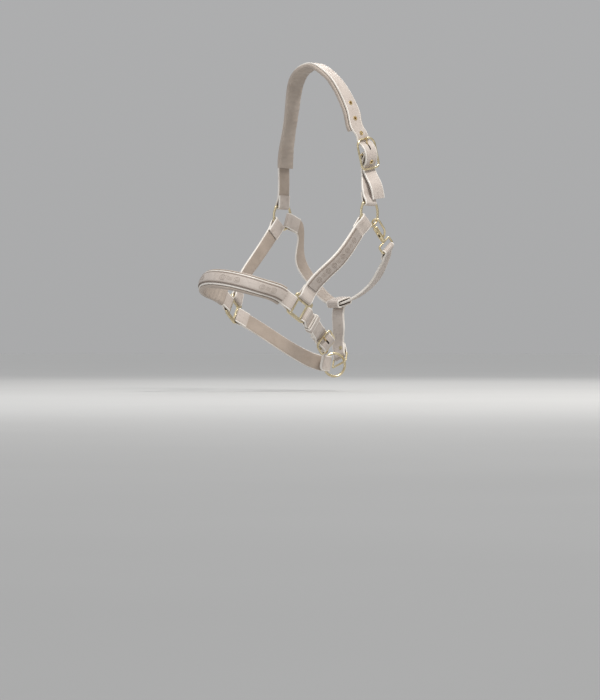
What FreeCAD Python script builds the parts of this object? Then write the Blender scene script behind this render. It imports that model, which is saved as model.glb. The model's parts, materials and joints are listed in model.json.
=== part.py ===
"""Leather headcollar, worn and fastened: a parametric FreeCAD document, in millimetres.

The origin is the middle of the crown pad's inner face, where the headcollar rests on the poll.
+X is the horse's left (near) side, -Y the way it faces and +Z up. Straps are ribbons through a
few stations; every strap end that holds a bar or ring is a folded, sewn loop round it.
"""
import FreeCAD, Part
import os
from math import cos, radians, sin, sqrt, tan

import Sketcher

Vector = FreeCAD.Vector
X_AXIS, Y_AXIS, Z_AXIS = Vector(1, 0, 0), Vector(0, 1, 0), Vector(0, 0, 1)
ORIGIN = Vector(0, 0, 0)

os.makedirs("parts", exist_ok=True)
doc = FreeCAD.newDocument("headcollar")

# ---------------------------------------------------------------- driving dimensions
SIZES = {
    "strap_width": 25.0,
    "strap_thick": 3.5,
    "layer_gap": 0.4,
    "crown_pad_width": 33.0,
    "crown_pad_thick": 6.0,
    "nose_pad_width": 32.0,
    "nose_pad_thick": 6.0,
    "overlay_width": 19.0,
    "overlay_thick": 1.2,
    "fold_leather": 2.4,
    "fold_gap": 0.4,
    "ring_wire": 4.0,
    "side_ring_width": 43.0,
    "lead_ring_radius": 18.5,
    "square_side": 36.0,
    "square_thick": 3.6,
    "square_slot": 26.6,
    "square_bar": 3.0,
    "square_band": 5.2,
    "buckle_wire": 3.4,
    "crown_buckle_width": 37.5,
    "crown_buckle_length": 48.0,
    "chin_buckle_width": 33.0,
    "chin_buckle_length": 38.0,
    "tongue_wire": 2.4,
    "eyelet_radius": 3.7,
    "eyelet_hole": 1.9,
    "eyelet_rim": 0.6,
    "eyelet_pitch": 26.0,
    "keeper_width": 11.0,
    "keeper_thick": 1.8,
    "loop_wire": 3.2,
    "jaw_loop_width": 30.0,
    "jaw_loop_height": 18.0,
    "snap_barrel_radius": 4.0,
    "snap_barrel_top": 27.0,
    "snap_bore_radius": 2.3,
    "snap_bolt_radius": 1.8,
    "snap_hook_radius": 6.0,
    "snap_hook_wire": 3.2,
    "snap_nose": 34.0,
    "snap_travel": 6.0,
    "snap_eye_width": 29.6,
    "snap_eye_drop": 13.0,
    "rivet_head_radius": 3.2,
}

sheet = doc.addObject("Spreadsheet::Sheet", "Sizes")
for row, (alias, value) in enumerate(SIZES.items(), start=1):
    sheet.set(f"A{row}", alias)
    sheet.set(f"B{row}", str(value))
    sheet.setAlias(f"B{row}", alias)
doc.recompute()


def size(alias):
    """A driving dimension, as the sheet holds it."""
    return float(sheet.get(alias))


STRAP_W, STRAP_T = size("strap_width"), size("strap_thick")
GAP = size("layer_gap")
CROWN_TOP = size("crown_pad_thick") + GAP + STRAP_T


def at(x, y, depth):
    """A point given by its depth below the crown strap's outer face at the poll."""
    return Vector(x, y, CROWN_TOP - depth)


def unit(vector):
    return Vector(vector).normalize()


def squared(direction, bar):
    """The direction turned square to a bar."""
    return unit(direction - bar * direction.dot(bar))


def mirrored(vector):
    """The same point or direction on the other side of the head."""
    return Vector(-vector.x, vector.y, vector.z)


class Frame:
    """An origin with three square axes, for a fitting that sits askew on the head."""

    def __init__(self, origin, x_dir, z_dir):
        self.origin = Vector(origin)
        self.x = unit(x_dir)
        self.y = unit(z_dir.cross(self.x))
        self.z = self.x.cross(self.y)

    def at(self, x, y, z):
        return self.origin + self.x * x + self.y * y + self.z * z

    def placement(self):
        axes = (self.x, self.y, self.z)
        matrix = FreeCAD.Matrix(
            axes[0].x, axes[1].x, axes[2].x, self.origin.x,
            axes[0].y, axes[1].y, axes[2].y, self.origin.y,
            axes[0].z, axes[1].z, axes[2].z, self.origin.z,
            0, 0, 0, 1)
        return FreeCAD.Placement(matrix)

    def mirrored(self):
        """The frame across the head; its y axis turns round so that it stays right-handed."""
        return Frame(mirrored(self.origin), mirrored(self.x), mirrored(self.z))


# ---------------------------------------------------------------- places on the head
# Upper rings lie on the cheeks: x runs up, y forward, z outward.
SIDE_RING = Frame(at(95, 29, 244), Z_AXIS, X_AXIS)
SIDE_RING_R = (size("side_ring_width") - size("ring_wire")) / 2
SIDE_RING_BAR = 18.0
CHEEK_FOLD_ANGLE = radians(138)
THROAT_FOLD_ANGLE = radians(-110)
SNAP_ANGLE = radians(-128)
SNAP_AXIS = unit(Vector(-0.113, -0.611, 0.78))
SNAP_TURN = radians(30)

# Three-slot squares by the mouth: x runs up the cheek strap, y along the noseband, z outward.
SQUARE_TILT = radians(56)
SQUARE_BACK = unit(Vector(0.25, 0.968, 0))
SQUARE = Frame(at(72, -108, 393), SQUARE_BACK * cos(SQUARE_TILT) + Z_AXIS * sin(SQUARE_TILT),
               SQUARE_BACK.cross(Z_AXIS))
SQUARE_REACH = (size("square_side") - size("square_bar")) / 2
SQUARE_SHIFT = -3.2

# Buckles: x points up the strap to the arc that the tongue rests on, y across it, z outward.
CROWN_BUCKLE = Frame(at(88, 33.5, 147), Vector(-0.1, -0.2, 0.975), Vector(0.99, -0.1, 0.08))
CHIN_BUCKLE = Frame(at(36, -9, 447), Vector(0.425, -0.8, 0.425), Vector(0.852, 0.195, -0.486))

# The lead ring: x runs back, y up and z through it. The jaw loop: y along its top bar, -x down.
LEAD_RING = Frame(at(8.5, 41.4, 483), Vector(0.39, 0.92, 0), Vector(0.921, -0.39, 0))
CHIN_FOLD_ANGLE = radians(172)
JAW_BAR = unit(Vector(0.92, 0.03, 0.39))
JAW_LOOP_UP = unit(Vector(-0.335, 0.575, 0.746))
JAW_LOOP = Frame(at(4, 61, 469), JAW_LOOP_UP, JAW_LOOP_UP.cross(JAW_BAR))

# ---------------------------------------------------------------- ribbons and folded ends
class Ribbon:
    """A strap's middle line through stations of (point, width direction), cut into sections."""

    def __init__(self, stations, pitch=9.0):
        points = [point for point, across in stations]
        curve = Part.BSplineCurve()
        curve.interpolate(points)
        marks = [curve.parameter(point) for point in points]
        self.length = curve.length()
        self.sections = []
        self.marks = [curve.length(curve.FirstParameter, mark) if mark > curve.FirstParameter else 0.0
                      for mark in marks]
        for index in range(len(stations) - 1):
            span = self.marks[index + 1] - self.marks[index]
            steps = max(2, round(span / pitch))
            for step in range(steps + (index == len(stations) - 2)):
                share = step / steps
                along = self.marks[index] + share * span
                where = curve.parameterAtDistance(along, curve.FirstParameter)
                across = stations[index][1] * (1 - share) + stations[index + 1][1] * share
                tangent = unit(curve.tangent(where)[0])
                face = unit(tangent.cross(unit(across)))
                self.sections.append((along, curve.value(where), unit(across), face))

    def section_at(self, along):
        """The nearest sections on each side of a length along the strap, blended."""
        for before, after in zip(self.sections, self.sections[1:]):
            if before[0] <= along <= after[0]:
                share = (along - before[0]) / (after[0] - before[0])
                blend = [a * (1 - share) + b * share for a, b in zip(before[1:], after[1:])]
                return along, blend[0], unit(blend[1]), unit(blend[2])
        return self.sections[0] if along < self.sections[0][0] else self.sections[-1]

    def solid(self, width, thick, lift=0.0, start=None, end=None):
        """A closed solid of the given section, lifted off the middle line along its face."""
        start = 0.0 if start is None else start
        end = self.length if end is None else end
        inner = [section for section in self.sections if start + 0.5 < section[0] < end - 0.5]
        outlines = []
        for along, centre, across, face in [self.section_at(start)] + inner + [self.section_at(end)]:
            corners = [centre + across * (side * width / 2) + face * (lift + level * thick / 2)
                       for side, level in ((-1, -1), (1, -1), (1, 1), (-1, 1))]
            outlines.append(Part.makePolygon(corners + corners[:1]))
        return Part.makeLoft(outlines, True, True)


FOLD_W = STRAP_W + 0.4
FOLD_STEP = 0.3
FOLD_SLACK = 0.6
FOLD_TAPER = 5.0


def drop(radius, points):
    """A strap-wide prism along y: a half round at the origin, closed through (x, z) points."""
    edge = -FOLD_W / 2
    path = [Vector(0, edge, -radius)] + [Vector(x, edge, z) for x, z in points] + [Vector(0, edge, radius)]
    edges = [Part.Arc(path[-1], Vector(-radius, edge, 0), path[0]).toShape()]
    edges += [Part.LineSegment(start, end).toShape() for start, end in zip(path, path[1:])]
    return Part.Face(Part.Wire(edges)).extrude(FOLD_W * Y_AXIS)


def fold(bar, along, across, wire, sag=0.0, length=22.0, slot=0.0):
    """A sewn strap end folded round a bar: a drop-shaped loop, open for the bar and its sag.

    along points from the bar down the strap; sag is how far a curved bar bows that way.
    slot is the width of a cut in the middle of the fold for a buckle tongue.
    """
    inner = wire / 2 + size("fold_gap")
    outer = inner + size("fold_leather")
    end = STRAP_T / 2 + FOLD_STEP
    straight = sag + FOLD_SLACK
    hollow_end = straight + inner + FOLD_TAPER
    body = drop(outer, [(length, -end), (length, end)])
    body = body.cut(drop(inner, [(straight, -inner), (hollow_end, 0), (straight, inner)]))
    if slot:
        corner = Vector(-outer - 1, -slot / 2, -2 * outer)
        body = body.cut(Part.makeBox(outer + hollow_end, slot, 4 * outer, corner))
    body.Placement = Frame(bar, along, along.cross(across)).placement()
    return body


def joined(*shapes):
    solid = shapes[0].fuse(list(shapes[1:])) if len(shapes) > 1 else shapes[0]
    return solid.removeSplitter()


def leather(label, shape):
    """A strap, pad or overlay: a feature that holds a shape worked out from the sheet."""
    feature = doc.addObject("Part::Feature", label)
    feature.Label = label
    feature.Shape = shape
    return feature


NODES = []


def keep(feature, placement=None):
    if placement is not None:
        feature.Placement = placement
    NODES.append(feature)
    return feature


# ---------------------------------------------------------------- metal fittings
def origin_plane(body, role):
    return next(plane for plane in body.Origin.OriginFeatures if plane.Role == role)


def new_body(label):
    body = doc.addObject("PartDesign::Body", label)
    body.Label = label
    return body


def new_sketch(body, name, role):
    sketch = body.newObject("Sketcher::SketchObject", name)
    sketch.AttachmentSupport = (origin_plane(body, role), [""])
    sketch.MapMode = "FlatFace"
    return sketch


def add_circle(sketch, x, y, alias, factor=1.0):
    """A circle whose radius follows the sheet."""
    radius = factor * size(alias)
    index = sketch.addGeometry(Part.Circle(Vector(x, y, 0), Z_AXIS, radius), False)
    rule = sketch.addConstraint(Sketcher.Constraint("Radius", index, radius))
    sketch.setExpression(f"Constraints[{rule}]", f"{factor} * <<Sizes>>.{alias}")


def rounded(corners):
    """Lines and tangent arcs round a closed outline of (x, y, corner radius).

    The outline starts and ends half way along its first side.
    """
    points = [Vector(x, y, 0) for x, y, radius in corners]
    seam = (points[-1] + points[0]) / 2
    edges, last = [], seam
    for index, (x, y, radius) in enumerate(corners):
        here = points[index]
        before = unit(points[index - 1] - here)
        after = unit(points[(index + 1) % len(points)] - here)
        half = before.getAngle(after) / 2
        start, end = here + before * (radius / tan(half)), here + after * (radius / tan(half))
        middle = here + unit(before + after) * (radius / sin(half) - radius)
        if (start - last).Length > 1e-6:
            edges.append(Part.LineSegment(last, start))
        edges.append(Part.Arc(start, middle, end))
        last = end
    if (seam - last).Length > 1e-6:
        edges.append(Part.LineSegment(last, seam))
    return edges


def bent_wire(body, corners, wire):
    """Round wire bent to a closed outline of (x, y, corner radius) in the body's XY plane.

    The outline's first side, from its last corner to its first, crosses the x axis squarely.
    """
    path = new_sketch(body, f"{body.Label}_path", "XY_Plane")
    path.addGeometry(rounded(corners), False)
    profile = new_sketch(body, f"{body.Label}_profile", "XZ_Plane")
    add_circle(profile, corners[0][0], 0, wire, 0.5)
    doc.recompute()
    pipe = body.newObject("PartDesign::AdditivePipe", f"{body.Label}_pipe")
    pipe.Profile = profile
    pipe.Spine = (path, [f"Edge{n + 1}" for n in range(path.GeometryCount)])
    body.Tip = pipe
    return body


def cross_bar(body, length, wire):
    """A straight bar along the body's Y axis, through its origin."""
    sketch = new_sketch(body, f"{body.Label}_bar_section", "XZ_Plane")
    add_circle(sketch, 0, 0, wire, 0.5)
    doc.recompute()
    pad = body.newObject("PartDesign::Pad", f"{body.Label}_bar")
    pad.Profile = sketch
    pad.Midplane = True
    pad.setExpression("Length", f"<<Sizes>>.{length}")
    body.Tip = pad
    return body


def wire_loop(label, width, height, corner, wire):
    """A closed rectangular wire loop, its top bar on the y axis and its opening along -x."""
    body = new_body(label)
    half = size(width) / 2
    drop = size(height)
    corners = [(0, half, corner), (-drop, half, corner), (-drop, -half, corner), (0, -half, corner)]
    return bent_wire(body, corners, wire)


def ring_point(frame, radius, angle):
    return frame.at(radius * cos(angle), radius * sin(angle), 0)


def ring_tangent(frame, angle):
    return frame.y * cos(angle) - frame.x * sin(angle)


def chord(radius):
    """How far from a ring's middle a strap-wide fold reaches before it meets the wire."""
    wire = size("ring_wire") / 2
    return sqrt((radius - wire) ** 2 - (STRAP_W / 2) ** 2) + wire - RING_CLEARANCE


RING_CLEARANCE = 0.3
RING_SAG = SIDE_RING_R - chord(SIDE_RING_R)
SQUARE_WIRE = 4.1
RING_FOLD = 24.0
BAR_FOLD = 18.0
BUCKLE_FOLD = 15.0
SEAM = 3.0


def run_in(bar, along, length):
    """Two points inside the end of a fold, so that the ribbon leaves it straight."""
    return [bar + along * (length - SEAM), bar + along * length]


# ---------------------------------------------------------------- upper rings and squares
SHOULDER_HALF, SHOULDER_FALL = 15.2, 11.0


def side_ring(label, frame):
    """A ring with a flat top bar for a strap, narrower than its round lower part."""
    outline = [(SIDE_RING_BAR, SHOULDER_HALF, 3.0), (SIDE_RING_BAR - SHOULDER_FALL, SIDE_RING_R, 12.0),
               (-SIDE_RING_R, SIDE_RING_R, SIDE_RING_R - 0.2)]
    outline += [(x, -y, radius) for x, y, radius in reversed(outline)]
    keep(bent_wire(new_body(label), outline, "ring_wire"), frame.placement())


side_ring("left_upper_ring", SIDE_RING)
side_ring("right_upper_ring", SIDE_RING.mirrored())


def add_outline(sketch, points):
    for start, end in zip(points, points[1:] + points[:1]):
        sketch.addGeometry(Part.LineSegment(Vector(*start, 0), Vector(*end, 0)), False)


def box_points(x_low, x_high, y_low, y_high):
    return [(x_low, y_low), (x_high, y_low), (x_high, y_high), (x_low, y_high)]


def square_fitting(label, frame):
    """A cast square with a slot for each of three straps and one closed, bowed side."""
    body = new_body(label)
    half, bar, slot = size("square_side") / 2, size("square_bar"), size("square_slot")
    low = SQUARE_SHIFT - slot / 2 - bar
    plate = new_sketch(body, f"{label}_outline", "XY_Plane")
    corners = [(half, half, 4.0), (low, half, 5.5), (low, -half, 5.5), (half, -half, 4.0)]
    plate.addGeometry(rounded(corners), False)
    doc.recompute()
    pad = body.newObject("PartDesign::Pad", f"{label}_plate")
    pad.Profile = plate
    pad.Midplane = True
    pad.setExpression("Length", "<<Sizes>>.square_thick")
    windows = new_sketch(body, f"{label}_windows", "XY_Plane")
    inner = half - bar
    mouth = 4.0
    side = inner - mouth - 2.6
    add_outline(windows, box_points(low + size("square_band"), inner - mouth - 2.6, -side, side))
    add_outline(windows, box_points(inner - mouth, inner, -slot / 2, slot / 2))
    for y_low, y_high in ((inner - mouth, inner), (-inner, mouth - inner)):
        side_slot = SQUARE_SHIFT - slot / 2, SQUARE_SHIFT + slot / 2 - 0.4
        add_outline(windows, box_points(*side_slot, y_low, y_high))
    doc.recompute()
    cut = body.newObject("PartDesign::Pocket", f"{label}_slots")
    cut.Profile = windows
    cut.Midplane = True
    cut.setExpression("Length", "2 * <<Sizes>>.square_thick")
    body.Tip = cut
    keep(body, frame.placement())


square_fitting("left_square", SQUARE)
square_fitting("right_square", SQUARE.mirrored())

CHEEK_BAR = SQUARE.at(SQUARE_REACH, 0, 0)
NOSE_BAR = SQUARE.at(SQUARE_SHIFT, SQUARE_REACH, 0)
CHIN_BAR = SQUARE.at(SQUARE_SHIFT, -SQUARE_REACH, 0)


# ---------------------------------------------------------------- cheek straps
def cheek_ribbon():
    top = ring_point(SIDE_RING, chord(SIDE_RING_R), CHEEK_FOLD_ANGLE)
    across_top = ring_tangent(SIDE_RING, CHEEK_FOLD_ANGLE)
    across_low = SQUARE.y * -1
    down = squared(Vector(-0.03, -0.68, -0.73), across_top)
    up = squared(Vector(0.25, 0.6, 0.76), SQUARE.y)
    bulge = (top + CHEEK_BAR) / 2 + X_AXIS * 8
    ends = run_in(top, down, RING_FOLD) + [bulge] + run_in(CHEEK_BAR, up, BAR_FOLD)[::-1]
    acrosses = [across_top, across_top, unit(across_top + across_low), across_low, across_low]
    ribbon = Ribbon(list(zip(ends, acrosses)))
    folds = [fold(top, down, across_top, size("ring_wire"), RING_SAG, RING_FOLD),
             fold(CHEEK_BAR, up, across_low * -1, SQUARE_WIRE, 0, BAR_FOLD)]
    return ribbon, folds


def mirror_of(shape):
    return shape.mirror(ORIGIN, X_AXIS)


cheek, cheek_folds = cheek_ribbon()
cheek_strap = joined(cheek.solid(STRAP_W, STRAP_T), *cheek_folds)
OVERLAY_LIFT = (STRAP_T + size("overlay_thick")) / 2 + 0.3
OVERLAY_INSET = 4.5
cheek_overlay = cheek.solid(size("overlay_width"), size("overlay_thick"), OVERLAY_LIFT,
                            OVERLAY_INSET, cheek.length - OVERLAY_INSET)
keep(leather("left_cheek_strap", cheek_strap))
keep(leather("right_cheek_strap", mirror_of(cheek_strap)))
keep(leather("left_cheek_overlay", cheek_overlay))
keep(leather("right_cheek_overlay", mirror_of(cheek_overlay)))


# ---------------------------------------------------------------- noseband
nose_along = squared(Vector(-0.12, -0.93, 0.34), SQUARE.x)
nose_across = SQUARE.x * -1
side_stations = [(point, nose_across) for point in run_in(NOSE_BAR, nose_along, BAR_FOLD)]
side_stations += [(at(61, -176, 364), unit(Vector(-0.12, -0.55, -0.8))),
                  (at(43, -209, 354), unit(Vector(-0.08, -0.5, -0.85)))]
far_side = [(mirrored(point), mirrored(across)) for point, across in reversed(side_stations)]
nose = Ribbon(side_stations + [(at(0, -229, 347), unit(Vector(0, -0.5, -0.87)))] + far_side)
nose_fold = fold(NOSE_BAR, nose_along, nose_across * -1, SQUARE_WIRE, 0, BAR_FOLD)
keep(leather("noseband_strap", joined(nose.solid(STRAP_W, STRAP_T), nose_fold, mirror_of(nose_fold))))
keep(leather("noseband_overlay", nose.solid(size("overlay_width"), size("overlay_thick"), OVERLAY_LIFT,
                                            OVERLAY_INSET, nose.length - OVERLAY_INSET)))
NOSE_PAD_LIFT = -(STRAP_T + size("nose_pad_thick")) / 2 - GAP
keep(leather("noseband_pad", nose.solid(size("nose_pad_width"), size("nose_pad_thick"), NOSE_PAD_LIFT,
                                        OVERLAY_INSET, nose.length - OVERLAY_INSET)))


# ---------------------------------------------------------------- buckles
def buckle_frame(label, frame, width, length, top_corner, low_corner):
    body = new_body(label)
    half_width, half_length = size(width) / 2, size(length) / 2
    bent_wire(body, [(half_length, half_width, top_corner), (-half_length, half_width, low_corner),
                     (-half_length, -half_width, low_corner), (half_length, -half_width, top_corner)],
              "buckle_wire")
    keep(cross_bar(body, width, "buckle_wire"), frame.placement())


def buckle_tongue(label, frame, length):
    """A wire tongue: an eye round the centre bar and a straight shank out over the arc."""
    eye = doc.addObject("Part::Torus", f"{label}_eye")
    eye.setExpression("Radius1", "(<<Sizes>>.buckle_wire + <<Sizes>>.tongue_wire) / 2 + 0.2")
    eye.setExpression("Radius2", "<<Sizes>>.tongue_wire / 2")
    eye.Placement = FreeCAD.Placement(ORIGIN, FreeCAD.Rotation(X_AXIS, 90))
    shank = doc.addObject("Part::Cylinder", f"{label}_shank")
    shank.setExpression("Radius", "<<Sizes>>.tongue_wire / 2 - 0.06")
    shank.setExpression("Height", f"<<Sizes>>.{length} / 2 + 3")
    lift = (size("buckle_wire") + size("tongue_wire")) / 2 + 0.2
    shank.Placement = FreeCAD.Placement(Vector(-1, 0, lift), FreeCAD.Rotation(Y_AXIS, 90))
    tongue = doc.addObject("Part::Fuse", label)
    tongue.Base, tongue.Tool = eye, shank
    tongue.Label = label
    keep(tongue, frame.placement())


buckle_frame("crown_buckle_frame", CROWN_BUCKLE, "crown_buckle_width", "crown_buckle_length", 12.0, 8.0)
buckle_tongue("crown_buckle_tongue", CROWN_BUCKLE, "crown_buckle_length")
buckle_frame("chin_buckle_frame", CHIN_BUCKLE, "chin_buckle_width", "chin_buckle_length", 9.0, 7.0)
buckle_tongue("chin_buckle_tongue", CHIN_BUCKLE, "chin_buckle_length")


def through_buckle(frame, reach, tongue_side):
    """A strap's way through a buckle: under one end, over the centre bar, under the other."""
    under = -(size("buckle_wire") + STRAP_T) / 2 - 1.8
    over = size("buckle_wire") / 2 + size("fold_gap") + size("fold_leather") + 0.5 + STRAP_T / 2
    rise = [(0.3 * reach, 0.84 * over), (0.62 * reach, 0.9), (reach - 2, under), (reach + 4, under)]
    profile = [(-x, z) for x, z in reversed(rise)] + [(0, over)] + rise
    return [(frame.at(x, 0, z), frame.y * tongue_side) for x, z in profile]


def cut_for_tongue(shape, frame, length):
    """Cuts the slot that a tongue passes through, between the centre bar and the arc."""
    width = size("tongue_wire") + 1.6
    slot = Part.makeBox(0.8 * size(length) / 2, width, 12, Vector(1, -width / 2, -5))
    slot.Placement = frame.placement()
    return shape.cut(slot)


# ---------------------------------------------------------------- eyelets
def eyelet(centre, across, face):
    """A brass eyelet: a tube through the strap with a rim on each side, the inner one flush."""
    half, rim = STRAP_T / 2, size("eyelet_rim")
    hole, outer = size("eyelet_hole"), size("eyelet_radius")
    tube = Part.makeCylinder(hole + rim, 2 * half + 0.4, Vector(0, 0, -half))
    for level in (-half, half - 0.1):
        tube = tube.fuse(Part.makeCylinder(outer, rim, Vector(0, 0, level)))
    tube = tube.cut(Part.makeCylinder(hole, 4 * half, Vector(0, 0, -2 * half)))
    tube.Placement = Frame(centre, across, face).placement()
    return tube


def eyelet_seat(centre, across, face):
    """What an eyelet takes out of its strap."""
    half, rim = STRAP_T / 2, size("eyelet_rim")
    seat = Part.makeCylinder(size("eyelet_hole") + rim + 0.1, 6 * half, Vector(0, 0, -3 * half))
    seat = seat.fuse(Part.makeCylinder(size("eyelet_radius") + 0.2, 2, Vector(0, 0, half - 0.2)))
    seat = seat.fuse(Part.makeCylinder(size("eyelet_radius") + 0.2, 2, Vector(0, 0, -half + rim + 0.1 - 2)))
    seat.Placement = Frame(centre, across, face).placement()
    return seat


def eyelet_row(ribbon, places):
    """The eyelets at these lengths along a ribbon, and their seats."""
    spots = [ribbon.section_at(along)[1:] for along in places]
    return Part.makeCompound([eyelet(*spot) for spot in spots]), [eyelet_seat(*spot) for spot in spots]


# ---------------------------------------------------------------- crown
crown_left = [(at(102, 43, 219), unit(Vector(-0.1, -0.98, -0.15))),
              (at(99, 39.5, 197), unit(Vector(-0.1, -0.97, -0.2)))]
crown_left += through_buckle(CROWN_BUCKLE, size("crown_buckle_length") / 2, 1)
CROWN_BUCKLE_STATION = 6
crown_side = [(at(76, 20, 105), unit(Vector(-0.1, -0.95, -0.2))),
              (at(71, 19, 86), unit(Vector(-0.1, -0.97, -0.2))),
              (at(63, 15, 62), unit(Vector(-0.05, -0.99, -0.12))),
              (at(43, 4, 25), unit(Vector(0.05, -0.99, 0.0))),
              (at(22, -1, 8), unit(Vector(0.03, -1, 0.0)))]
right_bar = mirrored(SIDE_RING.at(SIDE_RING_BAR, 0, 0))
crown_right = [(mirrored(point), mirrored(across)) for point, across in reversed(crown_side)]
right_up = squared(Vector(0.12, 0.02, 0.99), Y_AXIS)
crown_right += [(at(-88, 25, 150), Y_AXIS * -1)]
crown_right += [(point, Y_AXIS * -1) for point in run_in(right_bar, right_up, BAR_FOLD)[::-1]]
crown = Ribbon(crown_left + crown_side + [(at(0, 0, STRAP_T / 2), Y_AXIS * -1)] + crown_right)
tongue_hole = crown.marks[CROWN_BUCKLE_STATION] + 0.5 * size("crown_buckle_length") / 2
crown_places = [tongue_hole + step * size("eyelet_pitch") for step in (-1, 1, 2, 3)]
crown_eyelets, seats = eyelet_row(crown, crown_places)
crown_strap = joined(crown.solid(STRAP_W, STRAP_T),
                     fold(right_bar, right_up, Y_AXIS, size("ring_wire"), 0, BAR_FOLD))
for seat in seats:
    crown_strap = crown_strap.cut(seat)
keep(leather("crown_strap", cut_for_tongue(crown_strap, CROWN_BUCKLE, "crown_buckle_length")))
keep(leather("crown_eyelets", crown_eyelets))

CROWN_PAD_LIFT = -(STRAP_T + size("crown_pad_thick")) / 2 - GAP
pad_start = crown.marks[len(crown_left)] - 4
pad_end = crown.marks[-3] + 14
keep(leather("crown_pad", crown.solid(size("crown_pad_width"), size("crown_pad_thick"), CROWN_PAD_LIFT,
                                      pad_start, pad_end)))

# ---------------------------------------------------------------- hanger from buckle to ring
LEAN = unit(Vector(-0.9, 0, -0.45))
hanger_down = CROWN_BUCKLE.x * LEAN.x + CROWN_BUCKLE.z * LEAN.z
left_bar = SIDE_RING.at(SIDE_RING_BAR, 0, 0)
hanger_low = CROWN_BUCKLE.at(-27, 0, -11.2)
hanger_up = squared(Vector(-0.2, 0.16, 0.96), Y_AXIS)
hanger_top = run_in(CROWN_BUCKLE.origin, hanger_down, BUCKLE_FOLD)
hanger_stations = [(point, CROWN_BUCKLE.y * -1) for point in hanger_top]
hanger_stations += [(hanger_low, CROWN_BUCKLE.y * -1)]
hanger_stations += [(point, Y_AXIS) for point in run_in(left_bar, hanger_up, BAR_FOLD)[::-1]]
hanger = Ribbon(hanger_stations)
keep(leather("left_hanger", joined(
    hanger.solid(STRAP_W, STRAP_T),
    fold(CROWN_BUCKLE.origin, hanger_down, CROWN_BUCKLE.y, size("buckle_wire"), 0, BUCKLE_FOLD, 5.0),
    fold(left_bar, hanger_up, Y_AXIS, size("ring_wire"), 0, BAR_FOLD))))

# ---------------------------------------------------------------- chin: chape, keeper, strap
chape_dir = squared(Vector(-0.337, 0.821, -0.461), SQUARE.x)
CHAPE = Frame(CHIN_BAR, chape_dir, unit(chape_dir.cross(SQUARE.x)))
STRAIGHT = 52.0
chape_up = CHIN_BUCKLE.x * 0.88 - CHIN_BUCKLE.z * 0.475
chape_stations = [(point, CHAPE.y) for point in run_in(CHIN_BAR, chape_dir, BAR_FOLD)]
chape_stations += [(CHAPE.at(along, 0, 0), CHAPE.y) for along in (27, 36, 45, STRAIGHT)]
chape_stations += [(CHIN_BUCKLE.at(23, 0, -12.3), CHIN_BUCKLE.y * -1)]
chape_stations += [(point, CHIN_BUCKLE.y * -1)
                   for point in run_in(CHIN_BUCKLE.origin, chape_up, BUCKLE_FOLD)[::-1]]
chape = Ribbon(chape_stations)
keep(leather("chin_chape", joined(
    chape.solid(STRAP_W, STRAP_T),
    fold(CHIN_BAR, chape_dir, SQUARE.x, SQUARE_WIRE, 0, BAR_FOLD),
    fold(CHIN_BUCKLE.origin, chape_up, CHIN_BUCKLE.y, size("buckle_wire"), 0, BUCKLE_FOLD, 5.0))))

LAYER = STRAP_T + GAP
KEEPER_AT = 26.0


def keeper(label):
    """A leather band round the chape and the strap end above it."""
    room_across, room_up = STRAP_W + 1.0, 2 * STRAP_T + 3 * GAP
    wall, length = size("keeper_thick"), size("keeper_width")
    low = -STRAP_T / 2 - GAP
    band = Part.makeBox(length, room_across + 2 * wall, room_up + 2 * wall,
                        Vector(-length / 2, -room_across / 2 - wall, low - wall))
    band = band.cut(Part.makeBox(2 * length, room_across, room_up, Vector(-length, -room_across / 2, low)))
    keep(leather(label, band), Frame(CHAPE.at(KEEPER_AT, 0, 0), CHAPE.x, CHAPE.z).placement())


keeper("chin_keeper")

ring_out = unit(ring_point(LEAD_RING, 1, CHIN_FOLD_ANGLE) - LEAD_RING.origin)
ring_across = ring_tangent(LEAD_RING, CHIN_FOLD_ANGLE) * -1
turn = (size("ring_wire") + STRAP_T) / 2 + 0.6
turn_centre = LEAD_RING.origin + ring_out * chord(size("lead_ring_radius"))
off_bar = mirrored(CHIN_BAR)
off_along = squared(Vector(0.37, 0.81, -0.45), mirrored(SQUARE.x))
chin_stations = [(CHAPE.at(along, 0, LAYER), CHAPE.y) for along in (19, 27, 36, 45, STRAIGHT)]
chin_stations += [(point, across * -1) for point, across in
                  reversed(through_buckle(CHIN_BUCKLE, size("chin_buckle_length") / 2, 1))]
CHIN_BUCKLE_STATION = 9
chin_stations += [(turn_centre + LEAD_RING.z * (turn + 1) + ring_out * 9, ring_across),
                  (turn_centre + LEAD_RING.z * turn + ring_out * 1.5, ring_across),
                  (turn_centre - ring_out * turn, ring_across),
                  (turn_centre - LEAD_RING.z * turn + ring_out * 1.5, ring_across),
                  (turn_centre - LEAD_RING.z * (turn + 1) + ring_out * 10, ring_across),
                  (at(-34, -6, 462), unit(Vector(-0.1, 0.45, 0.87)))]
chin_stations += [(point, mirrored(SQUARE.x)) for point in run_in(off_bar, off_along, BAR_FOLD)[::-1]]
chin = Ribbon(chin_stations, pitch=6.0)
chin_hole = chin.marks[CHIN_BUCKLE_STATION] + 38.0
chin_eyelets, seats = eyelet_row(chin, [chin_hole])
chin_strap = joined(chin.solid(STRAP_W, STRAP_T),
                    fold(off_bar, off_along, mirrored(SQUARE.x) * -1, SQUARE_WIRE, 0, BAR_FOLD))
for seat in seats:
    chin_strap = chin_strap.cut(seat)
keep(leather("chin_strap", cut_for_tongue(chin_strap, CHIN_BUCKLE, "chin_buckle_length")))
keep(leather("chin_eyelets", chin_eyelets))

# ---------------------------------------------------------------- lead ring and jaw loop
lead_ring = doc.addObject("Part::Torus", "lead_ring")
lead_ring.Label = "lead_ring"
lead_ring.setExpression("Radius1", "<<Sizes>>.lead_ring_radius")
lead_ring.setExpression("Radius2", "<<Sizes>>.ring_wire / 2")
keep(lead_ring, LEAD_RING.placement())
keep(wire_loop("jaw_loop", "jaw_loop_width", "jaw_loop_height", 3.0, "loop_wire"), JAW_LOOP.placement())

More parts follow.
